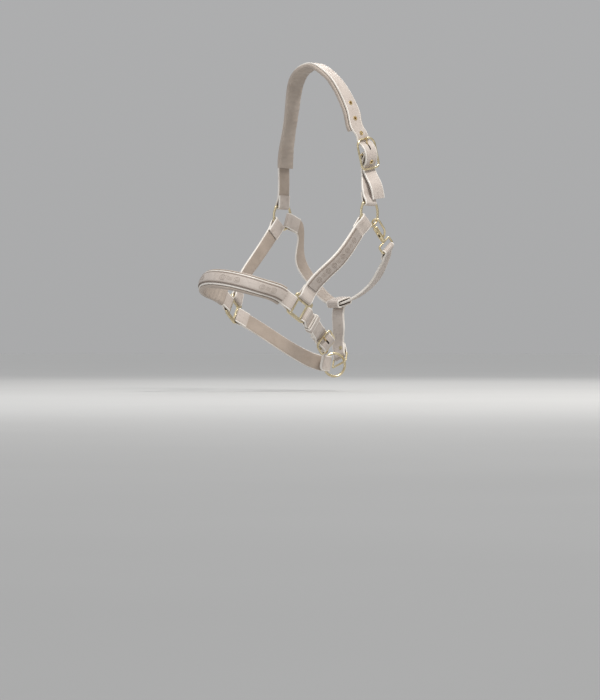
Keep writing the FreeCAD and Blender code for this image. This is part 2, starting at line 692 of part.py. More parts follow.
# ---------------------------------------------------------------- snap on the near upper ring
side_in = unit(X_AXIS - SNAP_AXIS * SNAP_AXIS.x)
side_back = SNAP_AXIS.cross(side_in)
hook_side = side_in * cos(SNAP_TURN) + side_back * sin(SNAP_TURN)
HOOK_R = size("snap_hook_radius")
HOOK_CENTRE = size("snap_nose") - 1.0
hooked = ring_point(SIDE_RING, SIDE_RING_R, SNAP_ANGLE)
SNAP = Frame(hooked - hook_side * HOOK_R - SNAP_AXIS * (HOOK_CENTRE + 1.0), hook_side, SNAP_AXIS)
EYE = Frame(SNAP.at(0, 0, -2.7), SNAP_AXIS, side_in * -1)


def revolved(body, kind, name, outline):
    """A boss or hole turned round the body's Z axis from (radius, height) points."""
    sketch = new_sketch(body, name, "XZ_Plane")
    add_outline(sketch, outline)
    doc.recompute()
    feature = body.newObject(f"PartDesign::{kind}", f"{name}_turned")
    feature.Profile = sketch
    feature.ReferenceAxis = (sketch, ["V_Axis"])
    feature.Angle = 360
    body.Tip = feature


def snap_body(label, frame):
    """The snap's casting: a swivel collar, a bored barrel and a hook that meets the bolt."""
    body = new_body(label)
    barrel, bore = size("snap_barrel_radius"), size("snap_bore_radius")
    top, guide = size("snap_barrel_top"), size("snap_bolt_radius") + 0.08
    path = new_sketch(body, f"{label}_hook_path", "XZ_Plane")
    arm_low = Vector(2 * HOOK_R, 18, 0)
    path.addGeometry(Part.Arc(Vector(0, HOOK_CENTRE, 0), Vector(HOOK_R, HOOK_CENTRE + HOOK_R, 0),
                              Vector(2 * HOOK_R, HOOK_CENTRE, 0)), False)
    path.addGeometry(Part.LineSegment(Vector(2 * HOOK_R, HOOK_CENTRE, 0), arm_low), False)
    root = Vector(barrel + 0.6, 6, 0)
    path.addGeometry(Part.Arc(arm_low, (arm_low + root) / 2 + Vector(0.9, -0.9, 0), root), False)
    tip = new_sketch(body, f"{label}_hook_section", "XY_Plane")
    tip.AttachmentOffset = FreeCAD.Placement(Vector(0, 0, HOOK_CENTRE), FreeCAD.Rotation())
    add_circle(tip, 0, 0, "snap_hook_wire", 0.5)
    doc.recompute()
    hook = body.newObject("PartDesign::AdditivePipe", f"{label}_hook")
    hook.Profile = tip
    hook.Spine = (path, ["Edge1", "Edge2", "Edge3"])
    hook.Transition = "Round corner"
    revolved(body, "Revolution", f"{label}_barrel",
             [(0, 0), (3.7, 0), (3.7, 4.4), (barrel, 5.2), (barrel, top - 1), (barrel - 1, top), (0, top)])
    revolved(body, "Groove", f"{label}_bore",
             [(0, 5.2), (bore, 5.2), (bore, top - 3), (guide, top - 3), (guide, top + 2), (0, top + 2)])
    revolved(body, "Groove", f"{label}_socket",
             [(0, -1), (1.85, -1), (1.85, 1.5), (2.5, 1.5), (2.5, 4.0), (0, 4.0)])
    slot = new_sketch(body, f"{label}_slot", "XZ_Plane")
    add_outline(slot, box_points(-1.4, 1.4, 9.0, 18.2))
    doc.recompute()
    cut = body.newObject("PartDesign::Pocket", f"{label}_thumb_slot")
    cut.Profile = slot
    cut.Length = barrel + 1
    cut.Reversed = True
    body.Tip = cut
    keep(body, frame.placement())


snap_body("snap_body", SNAP)


def primitive(kind, name, placement=None, **rules):
    shape = doc.addObject(f"Part::{kind}", name)
    for prop, rule in rules.items():
        shape.setExpression(prop, rule)
    if placement:
        shape.Placement = placement
    return shape


def fused(label, *parts):
    fusion = doc.addObject("Part::MultiFuse", label)
    fusion.Shapes = list(parts)
    fusion.Label = label
    return fusion


SEAT = 15.0
bolt_rod = primitive("Cylinder", "bolt_rod", FreeCAD.Placement(Vector(0, 0, SEAT), FreeCAD.Rotation()),
                     Radius="<<Sizes>>.snap_bolt_radius", Height=f"<<Sizes>>.snap_nose - 1.15 - {SEAT}")
bolt_head = primitive("Cylinder", "bolt_head", FreeCAD.Placement(Vector(0, 0, SEAT), FreeCAD.Rotation()),
                      Radius="<<Sizes>>.snap_bore_radius - 0.08")
bolt_head.Height = 3.0
bolt_stud = primitive("Cylinder", "bolt_stud",
                      FreeCAD.Placement(Vector(0, 0, SEAT + 1.6), FreeCAD.Rotation(X_AXIS, 90)))
bolt_stud.Radius, bolt_stud.Height = 1.1, 6.0
bolt_knob = primitive("Cylinder", "bolt_knob",
                      FreeCAD.Placement(Vector(0, -4.6, SEAT + 1.6), FreeCAD.Rotation(X_AXIS, 90)))
bolt_knob.Radius, bolt_knob.Height = 2.0, 2.0
keep(fused("snap_bolt", bolt_rod, bolt_head, bolt_stud, bolt_knob), SNAP.placement())


def coil_spring(label, low, high, radius, wire, turns):
    """A closed-end spring as a stack of plain turns round the bolt's axis, swept on a helix."""
    helix = Part.makeHelix((high - low - wire) / turns, high - low - wire, radius)
    helix.translate(Vector(0, 0, low + wire / 2))
    section = Part.Wire(Part.makeCircle(wire / 2, Vector(radius, 0, low + wire / 2), Y_AXIS))
    return leather(label, Part.Wire(helix.Edges).makePipeShell([section], True, True))


keep(coil_spring("snap_spring", 5.4, SEAT - 0.1, 1.7, 0.5, 7), SNAP.placement())

eye_body = wire_loop("snap_eye", "snap_eye_width", "snap_eye_drop", 3.0, "loop_wire")
for name, radius, start, end in (("post", 1.7, 0.0, 4.9), ("post_head", 2.3, 4.5, 6.4)):
    disc = new_sketch(eye_body, f"snap_eye_{name}", "YZ_Plane")
    disc.AttachmentOffset = FreeCAD.Placement(Vector(0, 0, start), FreeCAD.Rotation())
    disc.addGeometry(Part.Circle(ORIGIN, Z_AXIS, radius), False)
    doc.recompute()
    boss = eye_body.newObject("PartDesign::Pad", f"snap_eye_{name}_pad")
    boss.Profile = disc
    boss.Length = end - start
    eye_body.Tip = boss
keep(eye_body, EYE.placement())

# ---------------------------------------------------------------- throat strap
eye_bar = EYE.at(-size("snap_eye_drop"), 0, 0)
eye_down = squared(Vector(-0.57, 0.505, -0.645), EYE.y)
ring_end = mirrored(ring_point(SIDE_RING, chord(SIDE_RING_R), THROAT_FOLD_ANGLE))
ring_end_across = mirrored(ring_tangent(SIDE_RING, THROAT_FOLD_ANGLE))
ring_end_along = squared(Vector(0.02, 0.72, -0.69), ring_end_across)
throat_stations = [(point, EYE.y) for point in run_in(eye_bar, eye_down, BAR_FOLD)]
throat_stations += [(at(76, 82, 325), unit(Vector(0.05, 0.88, 0.46))),
                    (at(62, 83, 344), unit(Vector(0.05, 0.93, 0.36))),
                    (at(35, 71, 371), unit(Vector(0.0, 0.97, 0.25))),
                    (at(0, 62, 383), unit(Vector(0.0, 0.97, 0.25))),
                    (at(-36, 66, 372), unit(Vector(0.0, 0.97, 0.25))),
                    (at(-70, 70, 344), unit(Vector(-0.1, 0.95, 0.3))),
                    (at(-91, 66, 305), unit(Vector(-0.05, 0.85, 0.5)))]
throat_stations += [(point, ring_end_across) for point in run_in(ring_end, ring_end_along, RING_FOLD)[::-1]]
throat = Ribbon(throat_stations)
keep(leather("throat_strap", joined(
    throat.solid(STRAP_W, STRAP_T),
    fold(eye_bar, eye_down, EYE.y, size("loop_wire"), 0, BAR_FOLD),
    fold(ring_end, ring_end_along, ring_end_across, size("ring_wire"), RING_SAG, RING_FOLD))))

# ---------------------------------------------------------------- jaw strap and its rivet
band_frame = Frame(at(0, 62.2, 382.2), X_AXIS, Vector(0, 0.25, -0.97))
room_y, room_z, wall = STRAP_W + 4.4, STRAP_T + 4.2, size("fold_leather")
band = Part.makeBox(STRAP_W, room_y + 2 * wall, room_z + 2 * wall,
                    Vector(-STRAP_W / 2, -room_y / 2 - wall, -room_z / 2 - wall))
band = band.cut(Part.makeBox(2 * STRAP_W, room_y, room_z, Vector(-STRAP_W, -room_y / 2, -room_z / 2)))
band.Placement = band_frame.placement()
jaw_top = band_frame.at(0, 0, room_z / 2 + 1.0)
jaw_stations = [(jaw_top, X_AXIS), (at(0, 60, 400), X_AXIS), (at(1, 60, 425), unit(Vector(0.99, 0.02, 0.08)))]
jaw_up = squared(Vector(-0.3, 0.15, 0.94), JAW_BAR)
jaw_low = unit(Vector(0.94, 0.03, 0.3))
jaw_stations += [(point, jaw_low) for point in run_in(JAW_LOOP.origin, jaw_up, BAR_FOLD)[::-1]]
jaw = Ribbon(jaw_stations)
RIVET = Frame(JAW_LOOP.origin + jaw_up * 11.5 + JAW_BAR * 6, jaw_up, JAW_BAR.cross(jaw_up))
RIVET_HALF = 2.6
head = size("rivet_head_radius")
rivet = Part.makeCylinder(1.5, 2 * RIVET_HALF + 1, Vector(0, 0, -RIVET_HALF - 0.5))
rivet_seat = Part.makeCylinder(1.6, 4 * RIVET_HALF, Vector(0, 0, -2 * RIVET_HALF))
for level in (RIVET_HALF, -RIVET_HALF - 1):
    rivet = rivet.fuse(Part.makeCylinder(head, 1, Vector(0, 0, level)))
for level in (RIVET_HALF - 0.1, -RIVET_HALF - 2.9):
    rivet_seat = rivet_seat.fuse(Part.makeCylinder(head + 0.2, 3, Vector(0, 0, level)))
rivet.Placement = RIVET.placement()
rivet_seat.Placement = RIVET.placement()
keep(leather("jaw_strap", joined(
    band, jaw.solid(STRAP_W, STRAP_T),
    fold(JAW_LOOP.origin, jaw_up, JAW_BAR, size("loop_wire"), 0, BAR_FOLD)).cut(rivet_seat)))
keep(leather("jaw_rivet", rivet))

# ---------------------------------------------------------------- check and write
doc.recompute()
failed = [item.Name for item in doc.Objects if {"Invalid", "Error"} & set(item.State)]
if failed:
    raise SystemExit(f"objects that failed: {failed}")
for node in NODES:
    shape = node.Shape
    if shape.isNull() or not shape.isValid():
        raise SystemExit(f"{node.Label} has no valid shape")
    if not shape.Solids:
        raise SystemExit(f"{node.Label} has no solid")
for node in NODES:
    shape = node.Shape
    shape.exportStep(f"parts/{node.Label}.step")
    box = shape.BoundBox
    spans = (box.XMin, box.XMax, box.YMin, box.YMax, box.ZMin, box.ZMax)
    print(f"{node.Label:22s} solids {len(shape.Solids)} volume {shape.Volume:9.0f} box",
          " ".join(f"{value:7.1f}" for value in spans))
print(len(NODES), "nodes")
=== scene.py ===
import json
from math import cos, radians, sin, sqrt

import bmesh
import bpy
import numpy as np
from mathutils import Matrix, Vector

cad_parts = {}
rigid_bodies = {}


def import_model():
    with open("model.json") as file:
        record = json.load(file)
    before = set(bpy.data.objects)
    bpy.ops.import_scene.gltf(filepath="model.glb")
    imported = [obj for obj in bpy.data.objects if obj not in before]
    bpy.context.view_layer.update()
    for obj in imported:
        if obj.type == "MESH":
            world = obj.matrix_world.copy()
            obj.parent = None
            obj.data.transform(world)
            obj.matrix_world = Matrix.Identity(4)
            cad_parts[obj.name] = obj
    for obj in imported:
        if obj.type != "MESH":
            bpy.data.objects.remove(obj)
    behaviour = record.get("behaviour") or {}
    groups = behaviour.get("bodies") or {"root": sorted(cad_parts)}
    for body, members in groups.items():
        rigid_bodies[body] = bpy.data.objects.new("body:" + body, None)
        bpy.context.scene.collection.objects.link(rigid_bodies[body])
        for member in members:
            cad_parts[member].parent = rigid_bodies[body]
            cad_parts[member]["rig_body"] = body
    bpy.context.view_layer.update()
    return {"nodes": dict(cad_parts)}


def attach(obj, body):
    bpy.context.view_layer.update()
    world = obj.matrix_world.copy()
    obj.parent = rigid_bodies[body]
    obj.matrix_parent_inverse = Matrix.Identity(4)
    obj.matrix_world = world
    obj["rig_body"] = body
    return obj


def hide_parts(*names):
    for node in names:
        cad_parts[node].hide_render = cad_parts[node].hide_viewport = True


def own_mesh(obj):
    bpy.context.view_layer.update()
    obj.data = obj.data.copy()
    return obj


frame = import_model()

# A worn leather headcollar: ribbed greige straps with cream edges and stitching, padded crown and
# nose, and pale brass fittings. Strap routes are repeated from the CAD source, in millimetres.
MM = 0.001
STRAP_W, STRAP_T, GAP = 25.0, 3.5, 0.4
FOLD_T, FOLD_GAP, SEAM = 2.4, 0.4, 3.0
CREASE_INSET = 2.1
RING_FOLD, BAR_FOLD, BUCKLE_FOLD = 24.0, 18.0, 15.0
CROWN_TOP = 9.9
RING_WIRE, SQUARE_WIRE, BUCKLE_WIRE, LOOP_WIRE = 4.0, 4.1, 3.4, 3.2
PITCH = 1.6
X_AXIS, Y_AXIS, Z_AXIS = np.eye(3)


def vec(x, y, z):
    return np.array((x, y, z), float)


def at(x, y, depth):
    """A point given by its depth below the crown strap's outer face at the poll."""
    return vec(x, y, CROWN_TOP - depth)


def unit(vector):
    vector = np.asarray(vector, float)
    return vector / np.linalg.norm(vector, axis=-1, keepdims=True)


def squared(direction, bar):
    """The direction turned square to a bar."""
    return unit(direction - bar * np.dot(direction, bar))


def mirrored(vector):
    return np.asarray(vector) * (-1, 1, 1)


class Frame:
    """An origin with three square axes, for a fitting that sits askew on the head."""

    def __init__(self, origin, x_dir, z_dir):
        self.origin = np.asarray(origin, float)
        self.x = unit(x_dir)
        self.y = unit(np.cross(z_dir, self.x))
        self.z = np.cross(self.x, self.y)

    def at(self, x, y, z):
        return self.origin + self.x * x + self.y * y + self.z * z

    def mirrored(self):
        return Frame(mirrored(self.origin), mirrored(self.x), mirrored(self.z))


# ---------------------------------------------------------------- places on the head
SIDE_RING = Frame(at(95, 29, 244), Z_AXIS, X_AXIS)
SIDE_RING_R, SIDE_RING_BAR = 19.5, 18.0
CHEEK_FOLD_ANGLE, THROAT_FOLD_ANGLE, SNAP_ANGLE = radians(138), radians(-110), radians(-128)
SNAP_AXIS = unit((-0.113, -0.611, 0.78))
SNAP_TURN, HOOK_R, HOOK_CENTRE = radians(30), 6.0, 33.0
SQUARE_TILT = radians(56)
SQUARE_BACK = unit((0.25, 0.968, 0))
SQUARE = Frame(at(72, -108, 393), SQUARE_BACK * cos(SQUARE_TILT) + Z_AXIS * sin(SQUARE_TILT),
               np.cross(SQUARE_BACK, Z_AXIS))
SQUARE_REACH, SQUARE_SHIFT = 16.5, -3.2
CROWN_BUCKLE = Frame(at(88, 33.5, 147), (-0.1, -0.2, 0.975), (0.99, -0.1, 0.08))
CROWN_BUCKLE_REACH = 24.0
CHIN_BUCKLE = Frame(at(36, -9, 447), (0.425, -0.8, 0.425), (0.852, 0.195, -0.486))
CHIN_BUCKLE_REACH = 19.0
LEAD_RING = Frame(at(8.5, 41.4, 483), (0.39, 0.92, 0), (0.921, -0.39, 0))
LEAD_RING_R = 18.5
CHIN_FOLD_ANGLE = radians(172)
JAW_BAR = unit((0.92, 0.03, 0.39))
JAW_LOOP_UP = unit((-0.335, 0.575, 0.746))
JAW_LOOP = Frame(at(4, 61, 469), JAW_LOOP_UP, np.cross(JAW_LOOP_UP, JAW_BAR))
CHEEK_BAR = SQUARE.at(SQUARE_REACH, 0, 0)
NOSE_BAR = SQUARE.at(SQUARE_SHIFT, SQUARE_REACH, 0)
CHIN_BAR = SQUARE.at(SQUARE_SHIFT, -SQUARE_REACH, 0)


def ring_point(ring, radius, angle):
    return ring.at(radius * cos(angle), radius * sin(angle), 0)


def ring_tangent(ring, angle):
    return ring.y * cos(angle) - ring.x * sin(angle)


def chord(radius):
    """How far from a ring's middle a strap-wide fold reaches before it meets the wire."""
    return sqrt((radius - RING_WIRE / 2) ** 2 - (STRAP_W / 2) ** 2) + RING_WIRE / 2 - 0.3


RING_SAG = SIDE_RING_R - chord(SIDE_RING_R)


# ---------------------------------------------------------------- strap middle lines
def lengths_along(points):
    """How far along a line each of its points lies."""
    return np.concatenate(([0], np.cumsum(np.linalg.norm(np.diff(points, axis=0), axis=1))))


def spline(points, pitch):
    """Points along a smooth curve through the given ones, and each one's place as point + share."""
    points = np.array(points, float)
    knots = lengths_along(points)
    gap = np.diff(knots)
    count = len(points)
    system, wanted = np.eye(count), np.zeros((count, 3))
    slope = np.diff(points, axis=0) / gap[:, None]
    for i in range(1, count - 1):
        system[i, i - 1:i + 2] = gap[i - 1], 2 * (gap[i - 1] + gap[i]), gap[i]
        wanted[i] = 6 * (slope[i] - slope[i - 1])
    bend = np.linalg.solve(system, wanted)
    made, places = [], []
    for i in range(count - 1):
        steps = max(2, round(gap[i] / pitch))
        for step in range(steps + (i == count - 2)):
            b = step / steps
            a = 1 - b
            lift = (a ** 3 - a) * bend[i] + (b ** 3 - b) * bend[i + 1]
            made.append(a * points[i] + b * points[i + 1] + lift * gap[i] ** 2 / 6)
            places.append(i + b)
    return np.array(made), np.array(places)


def ease(share):
    """A share from 0 to 1 with a slow start and end."""
    return share * share * (3 - 2 * share)


def wrap(bar, along, across, wire, length, sag=0.0):
    """A strap's end from its straight run, round a bar and back behind itself.

    Returns points, the width direction there and thicknesses, from the strap's run outwards.
    """
    radius = wire / 2 + FOLD_GAP + FOLD_T / 2
    out = np.cross(along, across)
    run = length - SEAM
    behind = (STRAP_T + FOLD_T) / 2 + 0.15
    trail = []
    for share in np.linspace(0, 1, 8)[1:]:
        trail.append((run + (sag - run) * share, radius * ease(share), STRAP_T + (FOLD_T - STRAP_T) * share))
    for angle in np.radians(np.arange(90, 271, 15)):
        trail.append((radius * cos(angle), radius * sin(angle), FOLD_T))
    for share in np.linspace(0, 1, 8):
        trail.append((sag + (run - sag) * share, -radius + (radius - behind) * ease(share), FOLD_T))
    trail.append((length + 0.4, -behind, FOLD_T * 0.8))
    points = [bar + along * x + out * z for x, z, thick in trail]
    return points, -np.asarray(across), [thick for x, z, thick in trail]


class Strap:
    """A strap's middle line: points, width directions, outward faces, thicknesses and lengths."""

    def __init__(self, stations, begin=None, end=None, pitch=PITCH):
        points, places = spline([point for point, across in stations], pitch)
        acrosses = np.array([across for point, across in stations], float)
        low = np.minimum(places.astype(int), len(stations) - 2)
        share = (places - low)[:, None]
        acrosses = unit(acrosses[low] * (1 - share) + acrosses[low + 1] * share)
        thicks = np.full(len(points), STRAP_T)
        first = 0
        if begin:
            extra, across, more = begin
            points = np.vstack((extra[::-1], points))
            acrosses = np.vstack((np.tile(-across, (len(extra), 1)), acrosses))
            thicks = np.concatenate((more[::-1], thicks))
            first = len(extra)
        self.stations = [first + int(np.argmin(abs(places - i))) for i in range(len(stations))]
        if end:
            extra, across, more = end
            points = np.vstack((points, extra))
            acrosses = np.vstack((acrosses, np.tile(across, (len(extra), 1))))
            thicks = np.concatenate((thicks, more))
        step = np.linalg.norm(np.diff(points, axis=0), axis=1)
        kept = np.concatenate(([True], step > 1e-4))
        self.stations = [int(kept[:i + 1].sum()) - 1 for i in self.stations]
        self.points, self.across, self.thick = points[kept], acrosses[kept], thicks[kept]
        self.along = lengths_along(self.points)
        tangent = np.gradient(self.points, self.along, axis=0)
        self.face = unit(np.cross(tangent, self.across))

    def mark(self, station):
        """How far along the strap a station lies."""
        return self.along[self.stations[station]]

    def place(self, along, across, lift):
        """Where strap coordinates lie in space; lift counts from the middle line."""
        along, across, lift = np.broadcast_arrays(along, across, lift)
        at_each = [np.stack([np.interp(along, self.along, table[:, axis]) for axis in range(3)], -1)
                   for table in (self.points, self.across, self.face)]
        return at_each[0] + at_each[1] * across[..., None] + at_each[2] * lift[..., None]

    def top(self, along):
        """How far the outer face lies above the middle line."""
        return np.interp(along, self.along, self.thick) / 2


def run_in(bar, along, length):
    """The two stations where a strap's plain run meets the fold round a bar."""
    return [bar + along * (length - SEAM), bar + along * length]


def through_buckle(buckle, reach):
    """A strap's way through a buckle: under the frame, over the centre bar and under again."""
    under = -(BUCKLE_WIRE + STRAP_T) / 2 - 1.8
    over = BUCKLE_WIRE / 2 + FOLD_GAP + FOLD_T + 0.5 + STRAP_T / 2
    rise = [(0.3 * reach, 0.84 * over), (0.62 * reach, 0.9), (reach - 2, under), (reach + 4, under)]
    route = [(-x, z) for x, z in reversed(rise)] + [(0, over)] + rise
    return [(buckle.at(x, 0, z), buckle.y) for x, z in route]


def cheek_route():
    top = ring_point(SIDE_RING, chord(SIDE_RING_R), CHEEK_FOLD_ANGLE)
    across_top = ring_tangent(SIDE_RING, CHEEK_FOLD_ANGLE)
    across_low = -SQUARE.y
    down = squared((-0.03, -0.68, -0.73), across_top)
    up = squared((0.25, 0.6, 0.76), SQUARE.y)
    bulge = (top + CHEEK_BAR) / 2 + X_AXIS * 8
    ends = run_in(top, down, RING_FOLD) + [bulge] + run_in(CHEEK_BAR, up, BAR_FOLD)[::-1]
    acrosses = [across_top, across_top, unit(across_top + across_low), across_low, across_low]
    return Strap(list(zip(ends, acrosses)), wrap(top, down, across_top, RING_WIRE, RING_FOLD, RING_SAG),
                 wrap(CHEEK_BAR, up, -across_low, SQUARE_WIRE, BAR_FOLD))


def nose_route():
    along = squared((-0.12, -0.93, 0.34), SQUARE.x)
    across = -SQUARE.x
    side = [(point, across) for point in run_in(NOSE_BAR, along, BAR_FOLD)]
    side += [(at(61, -176, 364), unit((-0.12, -0.55, -0.8))),
             (at(43, -209, 354), unit((-0.08, -0.5, -0.85)))]
    far = [(mirrored(point), mirrored(width)) for point, width in side[::-1]]
    fold = wrap(NOSE_BAR, along, SQUARE.x * -1, SQUARE_WIRE, BAR_FOLD)
    far_fold = ([mirrored(point) for point in fold[0]], -mirrored(fold[1]), fold[2])
    return Strap(side + [(at(0, -229, 347), unit((0, -0.5, -0.87)))] + far, fold, far_fold)


def crown_route():
    left = [(at(102, 43, 219), unit((-0.1, -0.98, -0.15))), (at(99, 39.5, 197), unit((-0.1, -0.97, -0.2)))]
    left += through_buckle(CROWN_BUCKLE, CROWN_BUCKLE_REACH)
    side = [(at(76, 20, 105), unit((-0.1, -0.95, -0.2))), (at(71, 19, 86), unit((-0.1, -0.97, -0.2))),
            (at(63, 15, 62), unit((-0.05, -0.99, -0.12))), (at(43, 4, 25), unit((0.05, -0.99, 0.0))),
            (at(22, -1, 8), unit((0.03, -1, 0.0)))]
    bar = mirrored(SIDE_RING.at(SIDE_RING_BAR, 0, 0))
    up = squared((0.12, 0.02, 0.99), Y_AXIS)
    right = [(mirrored(point), mirrored(width)) for point, width in side[::-1]]
    right += [(at(-88, 25, 150), -Y_AXIS)]
    right += [(point, -Y_AXIS) for point in run_in(bar, up, BAR_FOLD)[::-1]]
    route = left + side + [(at(0, 0, STRAP_T / 2), -Y_AXIS)] + right
    return Strap(route, None, wrap(bar, up, Y_AXIS, RING_WIRE, BAR_FOLD)), len(left), len(route) - 3


def hanger_route():
    lean = unit((-0.9, 0, -0.45))
    down = CROWN_BUCKLE.x * lean[0] + CROWN_BUCKLE.z * lean[2]
    bar = SIDE_RING.at(SIDE_RING_BAR, 0, 0)
    up = squared((-0.2, 0.16, 0.96), Y_AXIS)
    route = [(point, -CROWN_BUCKLE.y) for point in run_in(CROWN_BUCKLE.origin, down, BUCKLE_FOLD)]
    route += [(CROWN_BUCKLE.at(-27, 0, -11.2), -CROWN_BUCKLE.y)]
    route += [(point, Y_AXIS) for point in run_in(bar, up, BAR_FOLD)[::-1]]
    return Strap(route, wrap(CROWN_BUCKLE.origin, down, -CROWN_BUCKLE.y, BUCKLE_WIRE, BUCKLE_FOLD),
                 wrap(bar, up, -Y_AXIS, RING_WIRE, BAR_FOLD))


CHAPE_DIR = squared((-0.337, 0.821, -0.461), SQUARE.x)
CHAPE = Frame(CHIN_BAR, CHAPE_DIR, np.cross(CHAPE_DIR, SQUARE.x))
CHAPE_STRAIGHT, LAYER, KEEPER_AT = 52.0, STRAP_T + GAP, 26.0


def chape_route():
    up = CHIN_BUCKLE.x * 0.88 - CHIN_BUCKLE.z * 0.475
    route = [(point, CHAPE.y) for point in run_in(CHIN_BAR, CHAPE_DIR, BAR_FOLD)]
    route += [(CHAPE.at(along, 0, 0), CHAPE.y) for along in (27, 36, 45, CHAPE_STRAIGHT)]
    route += [(CHIN_BUCKLE.at(23, 0, -12.3), -CHIN_BUCKLE.y)]
    route += [(point, -CHIN_BUCKLE.y) for point in run_in(CHIN_BUCKLE.origin, up, BUCKLE_FOLD)[::-1]]
    return Strap(route, wrap(CHIN_BAR, CHAPE_DIR, SQUARE.x, SQUARE_WIRE, BAR_FOLD),
                 wrap(CHIN_BUCKLE.origin, up, CHIN_BUCKLE.y, BUCKLE_WIRE, BUCKLE_FOLD))


def chin_route():
    out = unit(ring_point(LEAD_RING, 1, CHIN_FOLD_ANGLE) - LEAD_RING.origin)
    across = -ring_tangent(LEAD_RING, CHIN_FOLD_ANGLE)
    turn = (RING_WIRE + STRAP_T) / 2 + 0.6
    middle = LEAD_RING.origin + out * chord(LEAD_RING_R)
    bar = mirrored(CHIN_BAR)
    along = squared((0.37, 0.81, -0.45), mirrored(SQUARE.x))
    route = [(CHAPE.at(far, 0, LAYER), CHAPE.y) for far in (19, 27, 36, 45, CHAPE_STRAIGHT)]
    route += [(point, -width) for point, width in through_buckle(CHIN_BUCKLE, CHIN_BUCKLE_REACH)[::-1]]
    route += [(middle + LEAD_RING.z * (turn + 1) + out * 9, across),
              (middle + LEAD_RING.z * turn + out * 1.5, across), (middle - out * turn, across),
              (middle - LEAD_RING.z * turn + out * 1.5, across),
              (middle - LEAD_RING.z * (turn + 1) + out * 10, across),
              (at(-34, -6, 462), unit((-0.1, 0.45, 0.87)))]
    route += [(point, mirrored(SQUARE.x)) for point in run_in(bar, along, BAR_FOLD)[::-1]]
    return Strap(route, None, wrap(bar, along, -mirrored(SQUARE.x), SQUARE_WIRE, BAR_FOLD), pitch=1.2)


SIDE_IN = unit(X_AXIS - SNAP_AXIS * SNAP_AXIS[0])
HOOK_SIDE = SIDE_IN * cos(SNAP_TURN) + np.cross(SNAP_AXIS, SIDE_IN) * sin(SNAP_TURN)
HOOKED = ring_point(SIDE_RING, SIDE_RING_R, SNAP_ANGLE)
SNAP = Frame(HOOKED - HOOK_SIDE * HOOK_R - SNAP_AXIS * (HOOK_CENTRE + 1), HOOK_SIDE, SNAP_AXIS)


def throat_route():
    eye = Frame(SNAP.at(0, 0, -2.7), SNAP_AXIS, -SIDE_IN)
    bar = eye.at(-13.0, 0, 0)
    down = squared((-0.57, 0.505, -0.645), eye.y)
    ring_end = mirrored(ring_point(SIDE_RING, chord(SIDE_RING_R), THROAT_FOLD_ANGLE))
    ring_across = mirrored(ring_tangent(SIDE_RING, THROAT_FOLD_ANGLE))
    ring_along = squared((0.02, 0.72, -0.69), ring_across)
    route = [(point, eye.y) for point in run_in(bar, down, BAR_FOLD)]
    route += [(at(76, 82, 325), unit((0.05, 0.88, 0.46))), (at(62, 83, 344), unit((0.05, 0.93, 0.36))),
              (at(35, 71, 371), unit((0.0, 0.97, 0.25))), (at(0, 62, 383), unit((0.0, 0.97, 0.25))),
              (at(-36, 66, 372), unit((0.0, 0.97, 0.25))), (at(-70, 70, 344), unit((-0.1, 0.95, 0.3))),
              (at(-91, 66, 305), unit((-0.05, 0.85, 0.5)))]
    route += [(point, ring_across) for point in run_in(ring_end, ring_along, RING_FOLD)[::-1]]
    return Strap(route, wrap(bar, down, eye.y, LOOP_WIRE, BAR_FOLD),
                 wrap(ring_end, ring_along, -ring_across, RING_WIRE, RING_FOLD, RING_SAG))


JAW_BAND = Frame(at(0, 62.2, 382.2), X_AXIS, (0, 0.25, -0.97))
JAW_ROOM = (STRAP_W + 4.4, STRAP_T + 4.2)


def jaw_route():
    up = squared((-0.3, 0.15, 0.94), JAW_BAR)
    route = [(JAW_BAND.at(0, 0, JAW_ROOM[1] / 2 + 1.0), X_AXIS), (at(0, 60, 400), X_AXIS),
             (at(1, 60, 425), unit((0.99, 0.02, 0.08)))]
    route += [(point, unit((0.94, 0.03, 0.3))) for point in run_in(JAW_LOOP.origin, up, BAR_FOLD)[::-1]]
    return Strap(route, None, wrap(JAW_LOOP.origin, up, -JAW_BAR, LOOP_WIRE, BAR_FOLD))


